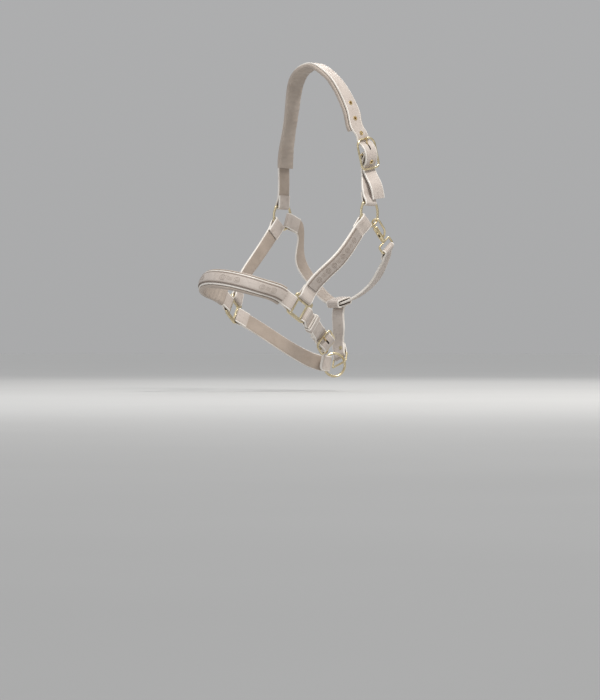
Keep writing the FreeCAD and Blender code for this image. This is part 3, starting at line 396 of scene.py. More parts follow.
# ---------------------------------------------------------------- materials
class Shader:
    """A Principled material with a few named shortcuts for its nodes."""

    def __init__(self, name, roughness=0.5, metallic=0.0):
        self.material = bpy.data.materials.new(name)
        self.material.use_nodes = True
        self.tree = self.material.node_tree
        self.surface = self.tree.nodes["Principled BSDF"]
        self.surface.inputs["Roughness"].default_value = roughness
        self.surface.inputs["Metallic"].default_value = metallic
        coordinates = self.tree.nodes.new("ShaderNodeTexCoord")
        self.uv, self.position = coordinates.outputs["UV"], coordinates.outputs["Object"]

    def node(self, kind, settings=None, **inputs):
        made = self.tree.nodes.new(kind)
        for key, value in (settings or {}).items():
            setattr(made, key, value)
        for key, value in inputs.items():
            socket = made.inputs[key.replace("_", " ")]
            if isinstance(value, bpy.types.NodeSocket):
                self.tree.links.new(value, socket)
            else:
                socket.default_value = value
        return made

    def noise(self, vector, scale, detail=3.0, rough=0.55):
        return self.node("ShaderNodeTexNoise", Vector=vector, Scale=scale, Detail=detail,
                         Roughness=rough).outputs["Fac"]

    def wave(self, vector, direction, scale, distortion=0.0):
        return self.node("ShaderNodeTexWave", {"bands_direction": direction}, Vector=vector, Scale=scale,
                         Distortion=distortion, Detail=2.0).outputs["Fac"]

    def cells(self, vector, scale):
        return self.node("ShaderNodeTexVoronoi", Vector=vector, Scale=scale).outputs["Distance"]

    def maths(self, kind, first, second):
        made = self.node("ShaderNodeMath", {"operation": kind})
        for socket, value in zip(made.inputs, (first, second)):
            if isinstance(value, bpy.types.NodeSocket):
                self.tree.links.new(value, socket)
            else:
                socket.default_value = value
        return made.outputs["Value"]

    def spread(self, value, low, high, start=0.0, stop=1.0):
        """value from low..high mapped onto start..stop, and held there."""
        made = self.node("ShaderNodeMapRange", Value=value)
        for key, number in zip(("From Min", "From Max", "To Min", "To Max"), (low, high, start, stop)):
            made.inputs[key].default_value = number
        return made.outputs["Result"]

    def mix(self, share, first, second):
        made = self.node("ShaderNodeMix", {"data_type": "RGBA"})
        for index, value in ((0, share), (6, first), (7, second)):
            if isinstance(value, bpy.types.NodeSocket):
                self.tree.links.new(value, made.inputs[index])
            elif index:
                made.inputs[index].default_value = (*value, 1)
            else:
                made.inputs[index].default_value = value
        return made.outputs[2]

    def bump(self, height, strength, distance, before=None):
        made = self.node("ShaderNodeBump", Height=height, Strength=strength, Distance=distance)
        if before is not None:
            self.tree.links.new(before, made.inputs["Normal"])
        return made.outputs["Normal"]

    def finish(self, colour, normal=None, roughness=None):
        for value, key in ((colour, "Base Color"), (normal, "Normal"), (roughness, "Roughness")):
            if value is not None:
                self.tree.links.new(value, self.surface.inputs[key])
        return self.material


# GREIGE_DARK is both the painted shade in the rib hollows and the tone of random darker streaks.
GREIGE, GREIGE_DARK, GREIGE_LIGHT = (0.53, 0.462, 0.412), (0.225, 0.182, 0.152), (0.63, 0.565, 0.515)
CREAM, CREAM_DARK = (0.79, 0.745, 0.69), (0.50, 0.44, 0.37)


def ribbed_leather(name, rib, tone=1.0):
    """Embossed strap faces: fine ribs across the strap, a finer weave along it and a leather grain, with
    painted shade in their hollows.
    """
    shader = Shader(name)
    ribs = shader.wave(shader.uv, "X", rib, 1.2)
    threads = shader.wave(shader.uv, "Y", rib * 1.4, 0.8)
    grain = shader.noise(shader.position, 1500, 4.0)
    blotch = shader.noise(shader.position, 26, 4.0, 0.6)
    streak = shader.noise(shader.position, 160, 3.0)
    weave = shader.maths("ADD", shader.maths("MULTIPLY", ribs, 0.62),
                         shader.maths("MULTIPLY", threads, 0.38))
    relief = shader.maths("ADD", weave, shader.maths("MULTIPLY", grain, 0.7))
    base, dark, light = [tuple(c * tone for c in colour) for colour in (GREIGE, GREIGE_DARK, GREIGE_LIGHT)]
    colour = shader.mix(shader.spread(blotch, 0.35, 0.7), base, light)
    # Painted shade: the low parts of the ribs, weave and grain are mixed towards the dark tone.
    colour = shader.mix(shader.spread(relief, 0.95, 0.35, 0.0, 0.5), colour, dark)
    colour = shader.mix(shader.spread(streak, 0.56, 0.74, 0.0, 0.30), colour, dark)
    normal = shader.bump(relief, 0.45, 0.0003, shader.bump(streak, 0.2, 0.0009))
    return shader.finish(colour, normal, shader.spread(streak, 0.3, 0.7, 0.46, 0.68))


def painted_edge():
    """Cream edge paint over cut leather: glossy, a little uneven, rubbed darker in places."""
    shader = Shader("edge_paint")
    ripple = shader.noise(shader.position, 420, 3.0)
    rub = shader.noise(shader.position, 60, 4.0, 0.65)
    colour = shader.mix(shader.spread(rub, 0.52, 0.74, 0.0, 0.55), CREAM, CREAM_DARK)
    normal = shader.bump(ripple, 0.4, 0.0006)
    return shader.finish(colour, normal, shader.spread(ripple, 0.3, 0.7, 0.28, 0.46))


def soft_leather(name, colour, dark, grain_scale=900, gloss=0.5):
    """Supple lining and padding leather: pebble grain, creases and a worn tone, with painted shade in the
    pebble pits.
    """
    shader = Shader(name)
    pebbles = shader.cells(shader.position, grain_scale)
    crease = shader.noise(shader.position, 95, 5.0, 0.65)
    blotch = shader.noise(shader.position, 22, 4.0, 0.6)
    tint = shader.mix(shader.spread(blotch, 0.35, 0.72, 0.0, 0.5), colour, dark)
    # Painted shade: the low middles of the pebbles are darkened a little.
    tint = shader.mix(shader.spread(pebbles, 0.55, 0.15, 0.0, 0.22), tint, dark)
    normal = shader.bump(pebbles, 0.35, 0.0004, shader.bump(crease, 0.45, 0.0016))
    return shader.finish(tint, normal, shader.spread(crease, 0.3, 0.7, gloss, gloss + 0.2))


def thread():
    """Twisted waxed thread."""
    shader = Shader("thread")
    twist = shader.noise(shader.position, 2600, 2.0)
    soil = shader.noise(shader.position, 55, 3.0)
    colour = shader.mix(shader.spread(soil, 0.45, 0.7, 0.0, 0.6), (0.34, 0.275, 0.225), (0.22, 0.175, 0.14))
    return shader.finish(colour, shader.bump(twist, 0.6, 0.0003), None)


def brass(name, colour, dull, rough):
    """Pale polished brass: fine scratches, a cloudy tarnish and handling wear."""
    shader = Shader(name, metallic=1.0)
    tarnish = shader.noise(shader.position, 130, 5.0, 0.65)
    pits = shader.noise(shader.position, 1300, 3.0)
    stretched = shader.node("ShaderNodeMapping", Vector=shader.position)
    stretched.inputs["Scale"].default_value = (1.0, 1.0, 9.0)
    scratch = shader.noise(stretched.outputs["Vector"], 620, 2.0, 0.7)
    tint = shader.mix(shader.spread(tarnish, 0.42, 0.70, 0.0, 0.75), colour, dull)
    gloss = shader.maths("ADD", shader.spread(tarnish, 0.3, 0.75, rough, rough + 0.2),
                         shader.spread(scratch, 0.5, 0.75, 0.0, 0.12))
    normal = shader.bump(scratch, 0.10, 0.0002, shader.bump(pits, 0.12, 0.0003))
    return shader.finish(tint, normal, gloss)


FACE = ribbed_leather("strap_face", 0.157)
PANEL = ribbed_leather("overlay_face", 0.21, 0.72)
NOSE_PANEL = ribbed_leather("nose_overlay_face", 0.21, 0.94)
EDGE = painted_edge()
LINING = soft_leather("strap_lining", (0.44, 0.365, 0.305), (0.24, 0.19, 0.15), 1100)
PADDING = soft_leather("padding", (0.50, 0.43, 0.37), (0.27, 0.215, 0.175), 800, 0.45)
RELIEF = soft_leather("raised_motif", (0.26, 0.21, 0.175), (0.16, 0.125, 0.10), 1300, 0.4)
NOSE_RELIEF = soft_leather("nose_motif", (0.42, 0.36, 0.31), (0.26, 0.215, 0.18), 1300, 0.4)
# Dark brown painted shade on the overlays' cut edges, for the dark crease round each raised overlay.
OVERLAY_EDGE_SHADE = soft_leather("overlay_edge_painted_shade", (0.25, 0.20, 0.165), (0.15, 0.12, 0.10), 1300, 0.5)
THREAD = thread()
BRASS = brass("pale_brass", (0.80, 0.69, 0.46), (0.40, 0.32, 0.18), 0.16)
WARM_BRASS = brass("warm_brass", (0.82, 0.63, 0.32), (0.44, 0.30, 0.13), 0.18)
# Near-black painted shade on the walls of the punched holes and tongue slots.
HOLE_SHADE = soft_leather("hole_wall_painted_shade", (0.07, 0.055, 0.045), (0.03, 0.025, 0.02), 900, 0.7)


# ---------------------------------------------------------------- meshes
def piece(name, vertices, faces, materials, body="straps", indices=None, uvs=None,
          replaces=(), sharp=38):
    """A shaded mesh from millimetre vertices that rides on a body and stands for CAD nodes."""
    mesh = bpy.data.meshes.new(name)
    mesh.from_pydata((np.asarray(vertices) * MM).tolist(), [], faces)
    for material in materials:
        mesh.materials.append(material)
    if indices is not None:
        mesh.polygons.foreach_set("material_index", np.asarray(indices, np.int32))
    if uvs is not None:
        layer = mesh.uv_layers.new(name="strap")
        layer.data.foreach_set("uv", np.asarray(uvs, np.float32).ravel())
    mesh.polygons.foreach_set("use_smooth", np.ones(len(mesh.polygons), bool))
    mesh.set_sharp_from_angle(angle=radians(sharp))
    mesh.validate()
    mesh.update()
    made = bpy.data.objects.new(name, mesh)
    bpy.context.scene.collection.objects.link(made)
    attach(made, body)
    if replaces:
        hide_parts(*replaces)
    return made


FACE_PART, EDGE_PART, LINING_PART = 0, 1, 2


def strap_outline(width, thick, crown=0.0, groove=0.28, round_off=1.1):
    """A strap's cross-section from the outer face's low edge, across and back underneath.

    Each side has its material: a face with a creased line near each edge, rounded painted edges, lining.
    """
    half = width / 2
    corner = min(round_off, 0.46 * thick)
    line, slope = half - CREASE_INSET, 0.35
    across = (-line - slope, -line, -line + slope, -0.55 * half, 0, 0.55 * half,
              line - slope, line, line + slope)
    outer = [(x, thick / 2 + crown * (1 - (x / half) ** 2) - groove * (abs(x) == line)) for x in across]
    turn = [(cos(a), sin(a)) for a in np.radians((75, 45, 15, -15, -45, -75))]
    right = [(half - corner + corner * c, (thick / 2 - corner) * np.sign(s) + corner * s) for c, s in turn]
    under = [(x, -thick / 2) for x in (0.6 * half, 0, -0.6 * half)]
    left = [(-x, y) for x, y in right[::-1]]
    parts = [FACE_PART] * (len(outer) - 1) + [EDGE_PART] * len(right) + [LINING_PART] * (len(under) + 1)
    return np.array(outer + right + under + left), parts + [EDGE_PART] * len(left)


def pad_outline(width, thick, lip=0.0):
    """A stuffed pad's cross-section: a flat seat for the strap, rolled lips beside it, a soft underside."""
    half, seat = width / 2, STRAP_W / 2 + 0.3
    lip_r = (half - seat) / 2
    angles = np.radians(np.arange(165, -1, -33))
    roll = [(seat + lip_r * (1 + cos(a)), thick / 2 - lip_r + lip * 0.5 + (lip_r + lip * 0.5) * sin(a))
            for a in angles]
    belly_turn = np.radians((12, 30, 48, 66, 80))
    belly = [(half * abs(cos(a)) ** 0.55, -thick / 2 * sin(a) ** 0.8) for a in belly_turn]
    right = [(0, thick / 2), (seat * 0.9, thick / 2)] + roll + belly
    left = [(-x, y) for x, y in right[:0:-1]]
    return np.array(right + [(0, -thick / 2)] + left), [FACE_PART] * (2 * len(right))


def swept(strap, outline, parts, lift=0.0, start=None, stop=None, thin=1.0, ripple=0.0):
    """The closed skin of a cross-section run along a strap: vertices, faces, material indices and uvs.

    Where the strap thins for a fold the section thins with it, if thin is 1.
    """
    start = strap.along[0] if start is None else start
    stop = strap.along[-1] if stop is None else stop
    inner = strap.along[(strap.along > start + 0.4) & (strap.along < stop - 0.4)]
    along = np.concatenate(([start], inner, [stop]))
    scale = 1 + thin * (np.interp(along, strap.along, strap.thick) / STRAP_T - 1)
    scale[[0, -1]] *= 0.8
    rings = []
    for far, share in zip(along, scale):
        wrinkle = ripple * (sin(far * 0.62) + 0.7 * sin(far * 0.231 + 1)) * (outline[:, 1] < 0)
        rings.append(strap.place(far, outline[:, 0], outline[:, 1] * share + lift + wrinkle))
    vertices = np.concatenate(rings)
    around = outline[:, 0]
    count = len(around)
    slots = np.arange(count)
    ahead = (slots + 1) % count
    steps = np.arange(len(along) - 1)[:, None] * count
    quads = np.stack([steps + slots, steps + count + slots, steps + count + ahead, steps + ahead], -1)
    u = np.stack([along[:-1], along[1:], along[1:], along[:-1]], -1)[:, None, :].repeat(count, 1)
    v = np.stack([around, around, around[ahead], around[ahead]], -1)
    uvs = np.stack([u, np.broadcast_to(v, u.shape)], -1).reshape(-1, 2)
    first, last = list(range(count)), list(range(len(vertices) - count, len(vertices)))
    faces = quads.reshape(-1, 4).tolist() + [first, last[::-1]]
    ends = [(start, x) for x in around] + [(stop, x) for x in around[::-1]]
    indices = np.append(np.tile(parts, len(along) - 1), (EDGE_PART, EDGE_PART))
    return vertices, faces, indices, np.concatenate((uvs, ends))


def strap_piece(name, strap, outline=None, materials=None, mirror=False, slot="leather", **shape):
    """A strap, overlay or pad that stands for the CAD node of the same name."""
    vertices, faces, indices, uvs = swept(strap, *(outline or strap_outline(STRAP_W, STRAP_T)), **shape)
    if mirror:
        vertices = mirrored(vertices)
        corners = np.cumsum([0] + [len(face) for face in faces])
        uvs = np.concatenate([uvs[a:b][::-1] for a, b in zip(corners, corners[1:])])
        faces = [face[::-1] for face in faces]
    return piece(name + "_look", vertices, faces, materials or (FACE, EDGE, LINING), "straps", indices,
                 uvs, (name,))


STITCH, STITCH_PITCH, STITCH_R = 3.0, 4.3, 0.36
STITCH_LENGTHS = np.array((0, 0.12, 0.5, 0.88, 1.0))
STITCH_RADII = STITCH_R * np.array((0.25, 0.85, 1, 0.85, 0.25))
STITCH_SINK = np.array((-0.50, -0.26, -0.15, -0.26, -0.50))
STITCH_TURN = np.radians(np.arange(0, 360, 60))


def row(across, start, stop):
    """Stitches along a strap, as (along, across) pairs of ends."""
    count = int((stop - start - STITCH) / STITCH_PITCH) + 1
    begins = [start + i * STITCH_PITCH for i in range(count)]
    return [((begin, across), (begin + STITCH, across)) for begin in begins]


def both_edges(across, start, stop):
    """Two rows of stitches, one near each edge of a strap."""
    return [mark for side in (-1, 1) for mark in row(side * across, start, stop)]


def crossing(along, width):
    """Stitches across a strap."""
    count = int((width - STITCH) / STITCH_PITCH) + 1
    first = -(count * STITCH_PITCH - STITCH_PITCH + STITCH) / 2
    begins = [first + i * STITCH_PITCH for i in range(count)]
    return [((along, begin), (along, begin + STITCH)) for begin in begins]


def sewn(name, strap, marks, lift=None, mirror=False):
    """Separate thread stitches that dip into the leather at both ends."""
    rng = np.random.default_rng(len(marks))
    sides = len(STITCH_TURN)
    vertices, faces = [], []
    for begin, end in marks:
        begin = np.array(begin) + rng.uniform(-0.15, 0.15, 2)
        end = np.array(end) + rng.uniform(-0.15, 0.15, 2)
        side = np.array((begin[1] - end[1], end[0] - begin[0])) / np.linalg.norm(end - begin)
        level = strap.top(begin[0]) if lift is None else lift
        for share, radius, sink in zip(STITCH_LENGTHS, STITCH_RADII, STITCH_SINK):
            spot = begin + (end - begin) * share
            along, across = spot[:, None] + side[:, None] * radius * np.cos(STITCH_TURN)
            rise = level + sink + radius * np.sin(STITCH_TURN)
            vertices.append(strap.place(along, across, rise))
    for base in range(0, len(vertices), len(STITCH_LENGTHS)):
        for ring in range(base, base + len(STITCH_LENGTHS) - 1):
            for k in range(sides):
                a, b = ring * sides + k, ring * sides + (k + 1) % sides
                faces.append((a, a + sides, b + sides, b))
    vertices = np.concatenate(vertices)
    return piece(name, mirrored(vertices) if mirror else vertices, faces, [THREAD], sharp=80)


def tube(points, radius, closed=True, sides=20):
    """A round wire through points: vertices and faces."""
    points = np.array(points)
    if closed:
        tangent = unit(np.roll(points, -1, 0) - np.roll(points, 1, 0))
    else:
        tangent = unit(np.gradient(points, axis=0))
    normal = np.zeros_like(points)
    guess = np.cross(tangent[0], (0.3, 0.5, 0.81))
    for i in range(len(points)):
        guess = unit(guess - tangent[i] * np.dot(guess, tangent[i]))
        normal[i] = guess
    across = np.cross(tangent, normal)
    turn = np.linspace(0, 2 * np.pi, sides, endpoint=False)
    outward = normal[:, None] * np.cos(turn)[:, None] + across[:, None] * np.sin(turn)[:, None]
    rings = points[:, None] + radius * outward
    count = len(points)
    faces = []
    for i in range(count if closed else count - 1):
        j = (i + 1) % count
        faces += [(i * sides + k, i * sides + (k + 1) % sides, j * sides + (k + 1) % sides, j * sides + k)
                  for k in range(sides)]
    if not closed:
        faces += [tuple(range(sides))[::-1], tuple(range((count - 1) * sides, count * sides))]
    return rings.reshape(-1, 3), faces


def gathered(parts):
    """Several (vertices, faces) as one."""
    vertices, faces, base = [], [], 0
    for more, links in parts:
        vertices.append(more)
        faces += [tuple(base + i for i in link) for link in links]
        base += len(more)
    return np.concatenate(vertices), faces


# ---------------------------------------------------------------- straps, overlays and pads
cheek, nose, hanger = cheek_route(), nose_route(), hanger_route()
crown, crown_pad_first, crown_pad_last = crown_route()
chape, chin, throat, jaw = chape_route(), chin_route(), throat_route(), jaw_route()
NOSE_PAD_W, CROWN_PAD_W, PAD_THICK, PAD_RIPPLE = 32.0, 33.0, 6.0, 0.22
PAD_LIFT = -(STRAP_T + PAD_THICK) / 2 - GAP
OVERLAY_W, OVERLAY_T = 19.0, 1.2
OVERLAY_LIFT, OVERLAY_INSET = (STRAP_T + OVERLAY_T) / 2 + 0.3, 4.5
OVERLAY_TOP = OVERLAY_LIFT + OVERLAY_T / 2
OVERLAY_SEAM, SEAM_AT = OVERLAY_W / 2 - 1.5, STRAP_W / 2 - CREASE_INSET
OVERLAY_SEAM_INSET = 7
FOLD_ROW, POINT_ROW = 20, 21
CHEEK_MOTIF_PITCH, NOSE_MOTIF_PITCH = 36.0, 62.0


def straight(strap, first, last):
    """How far along a strap two of its stations lie."""
    return strap.mark(first), strap.mark(last)


def ring_outline(radius, sides=28):
    """The corners of a circle, as two rows of coordinates."""
    turn = np.linspace(0, 2 * np.pi, sides, endpoint=False)
    return radius * np.cos(turn), radius * np.sin(turn)


def motif(name, strap, start, stop, lift, repeat, material, mirror=False):
    """A shallow raised pattern down an overlay: pairs of double rings with three wavy bars between."""
    ring, bar, half = 4.2, 4.0, 11.0
    count = int((stop - start - 2 * (half + ring)) / repeat) + 1
    first = (start + stop - (count - 1) * repeat) / 2
    parts = []
    for middle in first + np.arange(count) * repeat:
        for shift in (-half, half):
            for radius in (ring, 0.45 * ring):
                along, across = ring_outline(radius)
                parts.append(tube(strap.place(middle + shift + along, across, lift), 0.45, True, 8))
        for across in (-2.2, 0.0, 2.2):
            along = middle + np.linspace(-bar, bar, 9)
            parts.append(tube(strap.place(along, across + 0.5 * np.sin(along), lift), 0.4, False, 8))
    vertices, faces = gathered(parts)
    piece(name, mirrored(vertices) if mirror else vertices, faces, [material], sharp=70)


for label, mirror in (("left", False), ("right", True)):
    begin, end = straight(cheek, 0, -1)
    strap_piece(f"{label}_cheek_strap", cheek, mirror=mirror)
    strap_piece(f"{label}_cheek_overlay", cheek, strap_outline(OVERLAY_W, OVERLAY_T, 0.25, 0.2, 0.5),
                (PANEL, OVERLAY_EDGE_SHADE, LINING), mirror, lift=OVERLAY_LIFT, start=begin + OVERLAY_INSET,
                stop=end - OVERLAY_INSET, thin=0.0)
    seams = both_edges(OVERLAY_SEAM, begin + OVERLAY_SEAM_INSET, end - OVERLAY_SEAM_INSET)
    sewn(f"{label}_cheek_overlay_stitches", cheek, seams, OVERLAY_TOP + 0.05, mirror)
    motif(f"{label}_cheek_motif", cheek, begin + 8, end - 8, OVERLAY_TOP + 0.1, CHEEK_MOTIF_PITCH, RELIEF,
          mirror)
    folds = crossing(begin + 2, FOLD_ROW) + crossing(end - 2, FOLD_ROW)
    sewn(f"{label}_cheek_fold_stitches", cheek, folds, None, mirror)

begin, end = straight(nose, 0, -1)
strap_piece("noseband_strap", nose)
strap_piece("noseband_overlay", nose, strap_outline(OVERLAY_W, OVERLAY_T, 0.9, 0.25, 0.5),
            (NOSE_PANEL, OVERLAY_EDGE_SHADE, LINING), lift=OVERLAY_LIFT, start=begin + OVERLAY_INSET,
            stop=end - OVERLAY_INSET, thin=0.0)
seams = both_edges(OVERLAY_SEAM, begin + OVERLAY_SEAM_INSET, end - OVERLAY_SEAM_INSET)
sewn("noseband_overlay_stitches", nose, seams, OVERLAY_TOP + 0.25)
motif("noseband_motif", nose, begin + 14, end - 14, OVERLAY_TOP + 0.7, NOSE_MOTIF_PITCH, NOSE_RELIEF)
sewn("noseband_fold_stitches", nose, crossing(begin + 2, FOLD_ROW) + crossing(end - 2, FOLD_ROW))
pad_materials = (PADDING, EDGE, PADDING)
nose_pad = strap_piece("noseband_pad", nose, pad_outline(NOSE_PAD_W, PAD_THICK, 2.4), pad_materials,
                       slot="padding", lift=PAD_LIFT, start=begin + OVERLAY_INSET, stop=end - OVERLAY_INSET,
                       thin=0.0, ripple=PAD_RIPPLE)

pad_start, pad_stop = crown.mark(crown_pad_first) - 4, crown.mark(crown_pad_last) + 14
crown_pad = strap_piece("crown_pad", crown, pad_outline(CROWN_PAD_W, PAD_THICK, 1.2), pad_materials,
                        slot="padding", lift=PAD_LIFT, start=pad_start, stop=pad_stop, thin=0.0,
                        ripple=PAD_RIPPLE)


# ---------------------------------------------------------------- straps with holes
def drilled(made, cutters):
    """Cuts holes through a piece with closed (vertices, faces) shapes; the hole walls take a near-black
    painted shade.
    """
    vertices, faces = gathered(cutters)
    mesh = bpy.data.meshes.new("holes")
    mesh.from_pydata((vertices * MM).tolist(), [], faces)
    mesh.materials.append(HOLE_SHADE)
    holes = bpy.data.objects.new("holes", mesh)
    bpy.context.scene.collection.objects.link(holes)
    made.data.materials.append(HOLE_SHADE)
    cut = made.modifiers.new("holes", "BOOLEAN")
    cut.object, cut.operation, cut.solver, cut.material_mode = holes, "DIFFERENCE", "EXACT", "TRANSFER"
    bpy.context.view_layer.update()
    done = bpy.data.meshes.new_from_object(made.evaluated_get(bpy.context.evaluated_depsgraph_get()))
    made.modifiers.clear()
    made.data = done
    bpy.data.objects.remove(holes)


def peg(strap, along, radius=2.3, reach=6.0):
    """A round cutter through a strap."""
    x, y = ring_outline(radius, 24)
    return np.concatenate([strap.place(along + x, y, high) for high in (-reach, reach)]), prism_faces(24)


def prism_faces(sides):
    """The faces of a prism whose low corners come before its high ones."""
    walls = [(k, (k + 1) % sides, sides + (k + 1) % sides, sides + k) for k in range(sides)]
    return walls + [tuple(range(sides))[::-1], tuple(range(sides, 2 * sides))]


def tongue_slot(buckle, reach):
    """The cutter for the slot where a buckle's tongue comes up through the strap."""
    low, high, half = 0.14 * reach, 0.72 * reach, 1.35
    corners = [(low, -half), (high, -half), (high, half), (low, half)]
    vertices = [buckle.at(x, y, z) for z in (-5, 8) for x, y in corners]
    return np.array(vertices), prism_faces(4)


EYELET_PITCH, CHIN_EYELET = 26.0, 38.0
CROWN_STATION, CHIN_STATION = 6, 9
buckled_hole = crown.mark(CROWN_STATION) + 0.5 * CROWN_BUCKLE_REACH
crown_holes = [buckled_hole + step * EYELET_PITCH for step in (-1, 1, 2, 3)]
drilled(strap_piece("crown_strap", crown),
        [peg(crown, along) for along in crown_holes] + [tongue_slot(CROWN_BUCKLE, CROWN_BUCKLE_REACH)])
sewn("crown_end_stitches", crown, crossing(4, POINT_ROW) + crossing(crown.mark(-1) - 2, FOLD_ROW))
sewn("crown_pad_stitches", crown, both_edges(SEAM_AT, pad_start + 3, pad_stop - 3))
drilled(strap_piece("chin_strap", chin),
        [peg(chin, chin.mark(CHIN_STATION) + CHIN_EYELET), tongue_slot(CHIN_BUCKLE, CHIN_BUCKLE_REACH)])
sewn("chin_end_stitches", chin, crossing(4, POINT_ROW) + crossing(chin.mark(-1) - 2, FOLD_ROW))

for name, strap in (("left_hanger", hanger), ("chin_chape", chape), ("throat_strap", throat)):
    strap_piece(name, strap)
    begin, end = straight(strap, 0, -1)
    sewn(f"{name}_stitches", strap, crossing(begin + 1, FOLD_ROW) + crossing(end - 1, FOLD_ROW))
sewn("throat_edge_stitches", throat, both_edges(SEAM_AT, *straight(throat, 1, -2)))


# ---------------------------------------------------------------- jaw strap, band and keeper
def band(name, frame_at, room, wall, width, body="straps", node=None, corner=1.6):
    """A closed strip of leather bent round a rectangular room, its width along the frame's X."""
    half_y, half_z = room[0] / 2 + wall / 2, room[1] / 2 + wall / 2
    path = []
    for sy, sz, first in ((1, 1, 0), (-1, 1, 90), (-1, -1, 180), (1, -1, 270)):
        for angle in np.radians(np.arange(first, first + 91, 22.5)):
            path.append((sy * (half_y - corner) + corner * cos(angle),
                         sz * (half_z - corner) + corner * sin(angle)))
    path = np.array(path)
    out = unit(np.stack([np.roll(path[:, 1], -1) - np.roll(path[:, 1], 1),
                         np.roll(path[:, 0], 1) - np.roll(path[:, 0], -1)], -1))
    outline, parts = strap_outline(width, wall, 0, 0.2, 0.7)
    rings = []
    for (y, z), (out_y, out_z) in zip(path, out):
        rings.append([frame_at.at(x, y + out_y * lift, z + out_z * lift) for x, lift in outline])
    vertices = np.concatenate(rings)
    count, steps = len(outline), len(path)
    faces, indices, uvs = [], [], []
    lengths = lengths_along(np.vstack((path, path[:1])))
    for i in range(steps):
        for k in range(count):
            j, m = (i + 1) % steps, (k + 1) % count
            faces.append((i * count + k, i * count + m, j * count + m, j * count + k))
            indices.append(parts[k])
            uvs += [(lengths[i], outline[k, 0]), (lengths[i], outline[m, 0]),
                    (lengths[i + 1], outline[m, 0]), (lengths[i + 1], outline[k, 0])]
    return piece(name, vertices, faces, (FACE, EDGE, LINING), body, indices, uvs,
                 (node,) if node else ())


band("jaw_band_look", JAW_BAND, JAW_ROOM, FOLD_T, STRAP_W, corner=3.2)
strap_piece("jaw_strap", jaw)
sewn("jaw_stitches", jaw, crossing(jaw.mark(-1) - 1, FOLD_ROW) + crossing(jaw.mark(0) + 8, FOLD_ROW))
KEEPER = Frame(CHAPE.at(KEEPER_AT, 0, STRAP_T / 2 + GAP / 2), CHAPE.x, CHAPE.z)
KEEPER_ROOM = (STRAP_W + 1.0, 2 * STRAP_T + 3 * GAP)
KEEPER_WALL, KEEPER_WIDTH = 1.8, 11.0
band("chin_keeper_look", KEEPER, KEEPER_ROOM, KEEPER_WALL, KEEPER_WIDTH, "keeper", "chin_keeper", 1.4)


# ---------------------------------------------------------------- brass fittings
MERGE_WITHIN = 2e-6
FLAT_ANGLE, SMOOTH_ANGLE, CORNER_ANGLE = radians(1), radians(32), radians(50)


def polished(node, material, bevel):
    """A smooth, lightly rounded copy of a CAD fitting."""
    source = frame["nodes"][node]
    mesh = source.data.copy()
    edited = bmesh.new()
    edited.from_mesh(mesh)
    bmesh.ops.remove_doubles(edited, verts=edited.verts, dist=MERGE_WITHIN)
    if bevel:
        bmesh.ops.dissolve_limit(edited, angle_limit=FLAT_ANGLE, verts=edited.verts, edges=edited.edges)
    edited.to_mesh(mesh)
    edited.free()
    mesh.materials.clear()
    mesh.materials.append(material)
    mesh.polygons.foreach_set("use_smooth", np.ones(len(mesh.polygons), bool))
    mesh.set_sharp_from_angle(angle=SMOOTH_ANGLE)
    made = bpy.data.objects.new(node + "_look", mesh)
    bpy.context.scene.collection.objects.link(made)
    if bevel:
        rounded = made.modifiers.new("rounded", "BEVEL")
        rounded.width, rounded.segments, rounded.limit_method = bevel * MM, 3, "ANGLE"
        rounded.angle_limit = CORNER_ANGLE
    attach(made, source["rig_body"])
    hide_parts(node)
    return made


FITTINGS = {
    "left_upper_ring": 0, "right_upper_ring": 0, "left_square": 0.6, "right_square": 0.6,
    "crown_buckle_frame": 0, "crown_buckle_tongue": 0.3, "chin_buckle_frame": 0, "chin_buckle_tongue": 0.3,
    "lead_ring": 0, "jaw_loop": 0, "jaw_rivet": 0.3, "snap_body": 0.2, "snap_bolt": 0.15, "snap_spring": 0,
    "snap_eye": 0.15, "crown_eyelets": 0.15, "chin_eyelets": 0.15}
brass_pieces = {node: polished(node, WARM_BRASS if "eyelet" in node or "tongue" in node else BRASS, bevel)
                for node, bevel in FITTINGS.items()}
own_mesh(brass_pieces["snap_spring"])


# ---------------------------------------------------------------- floor, light and camera
def area_light(name, place, target, size, watts, tint):
    """A square lamp that faces a target."""
    light = bpy.data.lights.new(name, "AREA")
    light.shape, light.size, light.energy, light.color = "SQUARE", size, watts, tint
    made = bpy.data.objects.new(name, light)
    bpy.context.scene.collection.objects.link(made)
    made.location = place
    made.rotation_euler = (Vector(target) - Vector(place)).to_track_quat("-Z", "Y").to_euler()


FLOOR_Z, FLOOR_REACH = -0.515, 40
FLOOR_SHADES = (0.46, 0.46, 0.455), (0.50, 0.50, 0.495)
floor_mesh = bpy.data.meshes.new("floor")
floor_sides = ((-1, -1), (1, -1), (1, 1), (-1, 1))
floor_corners = [(x * FLOOR_REACH, y * FLOOR_REACH, FLOOR_Z) for x, y in floor_sides]
floor_mesh.from_pydata(floor_corners, [], [(0, 1, 2, 3)])
floor_shader = Shader("pale_floor", 0.8)
speckle = floor_shader.noise(floor_shader.position, 3, 3.0)
floor_mesh.materials.append(floor_shader.finish(floor_shader.mix(speckle, *FLOOR_SHADES)))
floor = bpy.data.objects.new("floor", floor_mesh)
bpy.context.scene.collection.objects.link(floor)

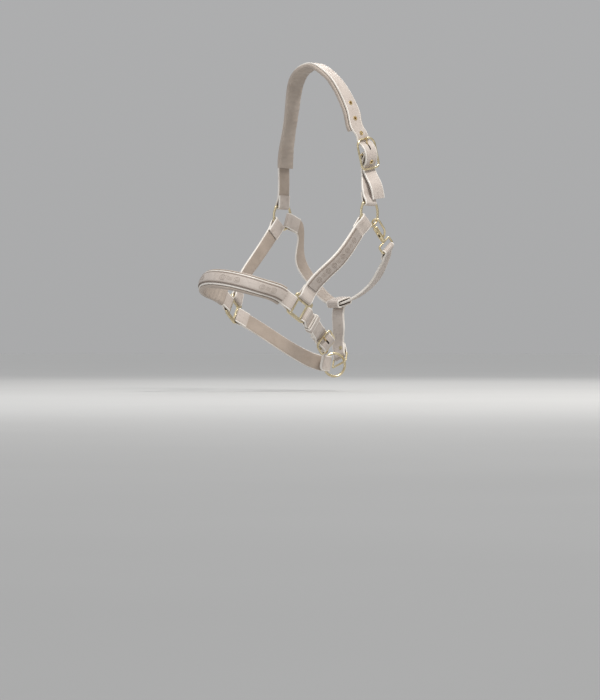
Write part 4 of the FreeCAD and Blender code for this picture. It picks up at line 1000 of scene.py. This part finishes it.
world = bpy.data.worlds.new("studio")
bpy.context.scene.world = world
world.use_nodes = True
sky = world.node_tree.nodes
direction = sky.new("ShaderNodeTexCoord")
split = sky.new("ShaderNodeSeparateXYZ")
shades = sky.new("ShaderNodeValToRGB")
for place, shade in ((0.0, 0.40), (0.35, 0.46), (0.9, 1.0)):
    stop = shades.color_ramp.elements.new(place)
    stop.color = (shade, shade * 1.005, shade * 1.015, 1)
shades.color_ramp.elements.remove(shades.color_ramp.elements[-1])
shades.color_ramp.elements.remove(shades.color_ramp.elements[0])
world.node_tree.links.new(direction.outputs["Generated"], split.inputs["Vector"])
world.node_tree.links.new(split.outputs["Z"], shades.inputs["Fac"])
world.node_tree.links.new(shades.outputs["Color"], sky["Background"].inputs["Color"])
bpy.context.scene.view_settings.view_transform = "Standard"

MIDDLE = (0.0, -0.05, -0.25)
TO_CAMERA, TO_RIGHT = Vector((0.682, -0.731, 0)), Vector((0.731, 0.682, 0))
area_light("key", TO_CAMERA * 1.1 + TO_RIGHT * 0.9 + Vector((0, 0, 1.5)),
           MIDDLE, 0.5, 33, (1.0, 0.97, 0.93))
area_light("fill", TO_CAMERA * 1.5 - TO_RIGHT * 1.4 + Vector((0, 0, 0.2)),
           MIDDLE, 1.2, 6, (0.93, 0.96, 1.0))
area_light("rim", TO_CAMERA * -1.5 + TO_RIGHT * 0.4 + Vector((0, 0, 1.2)),
           MIDDLE, 0.6, 10, (1.0, 0.98, 0.95))

CAMERA_AIM, CAMERA_DISTANCE = Vector((-0.0152, -0.0142, -0.4493)), 5.0
camera_data = bpy.data.cameras.new("camera")
camera_data.lens, camera_data.sensor_width = 160.7, 36.0
camera_data.clip_start, camera_data.clip_end = 0.1, 60.0
camera = bpy.data.objects.new("camera", camera_data)
bpy.context.scene.collection.objects.link(camera)
camera.location = CAMERA_AIM + TO_CAMERA * CAMERA_DISTANCE
camera.rotation_euler = (-TO_CAMERA).to_track_quat("-Z", "Y").to_euler()
bpy.context.scene.camera = camera

bpy.context.view_layer.update()
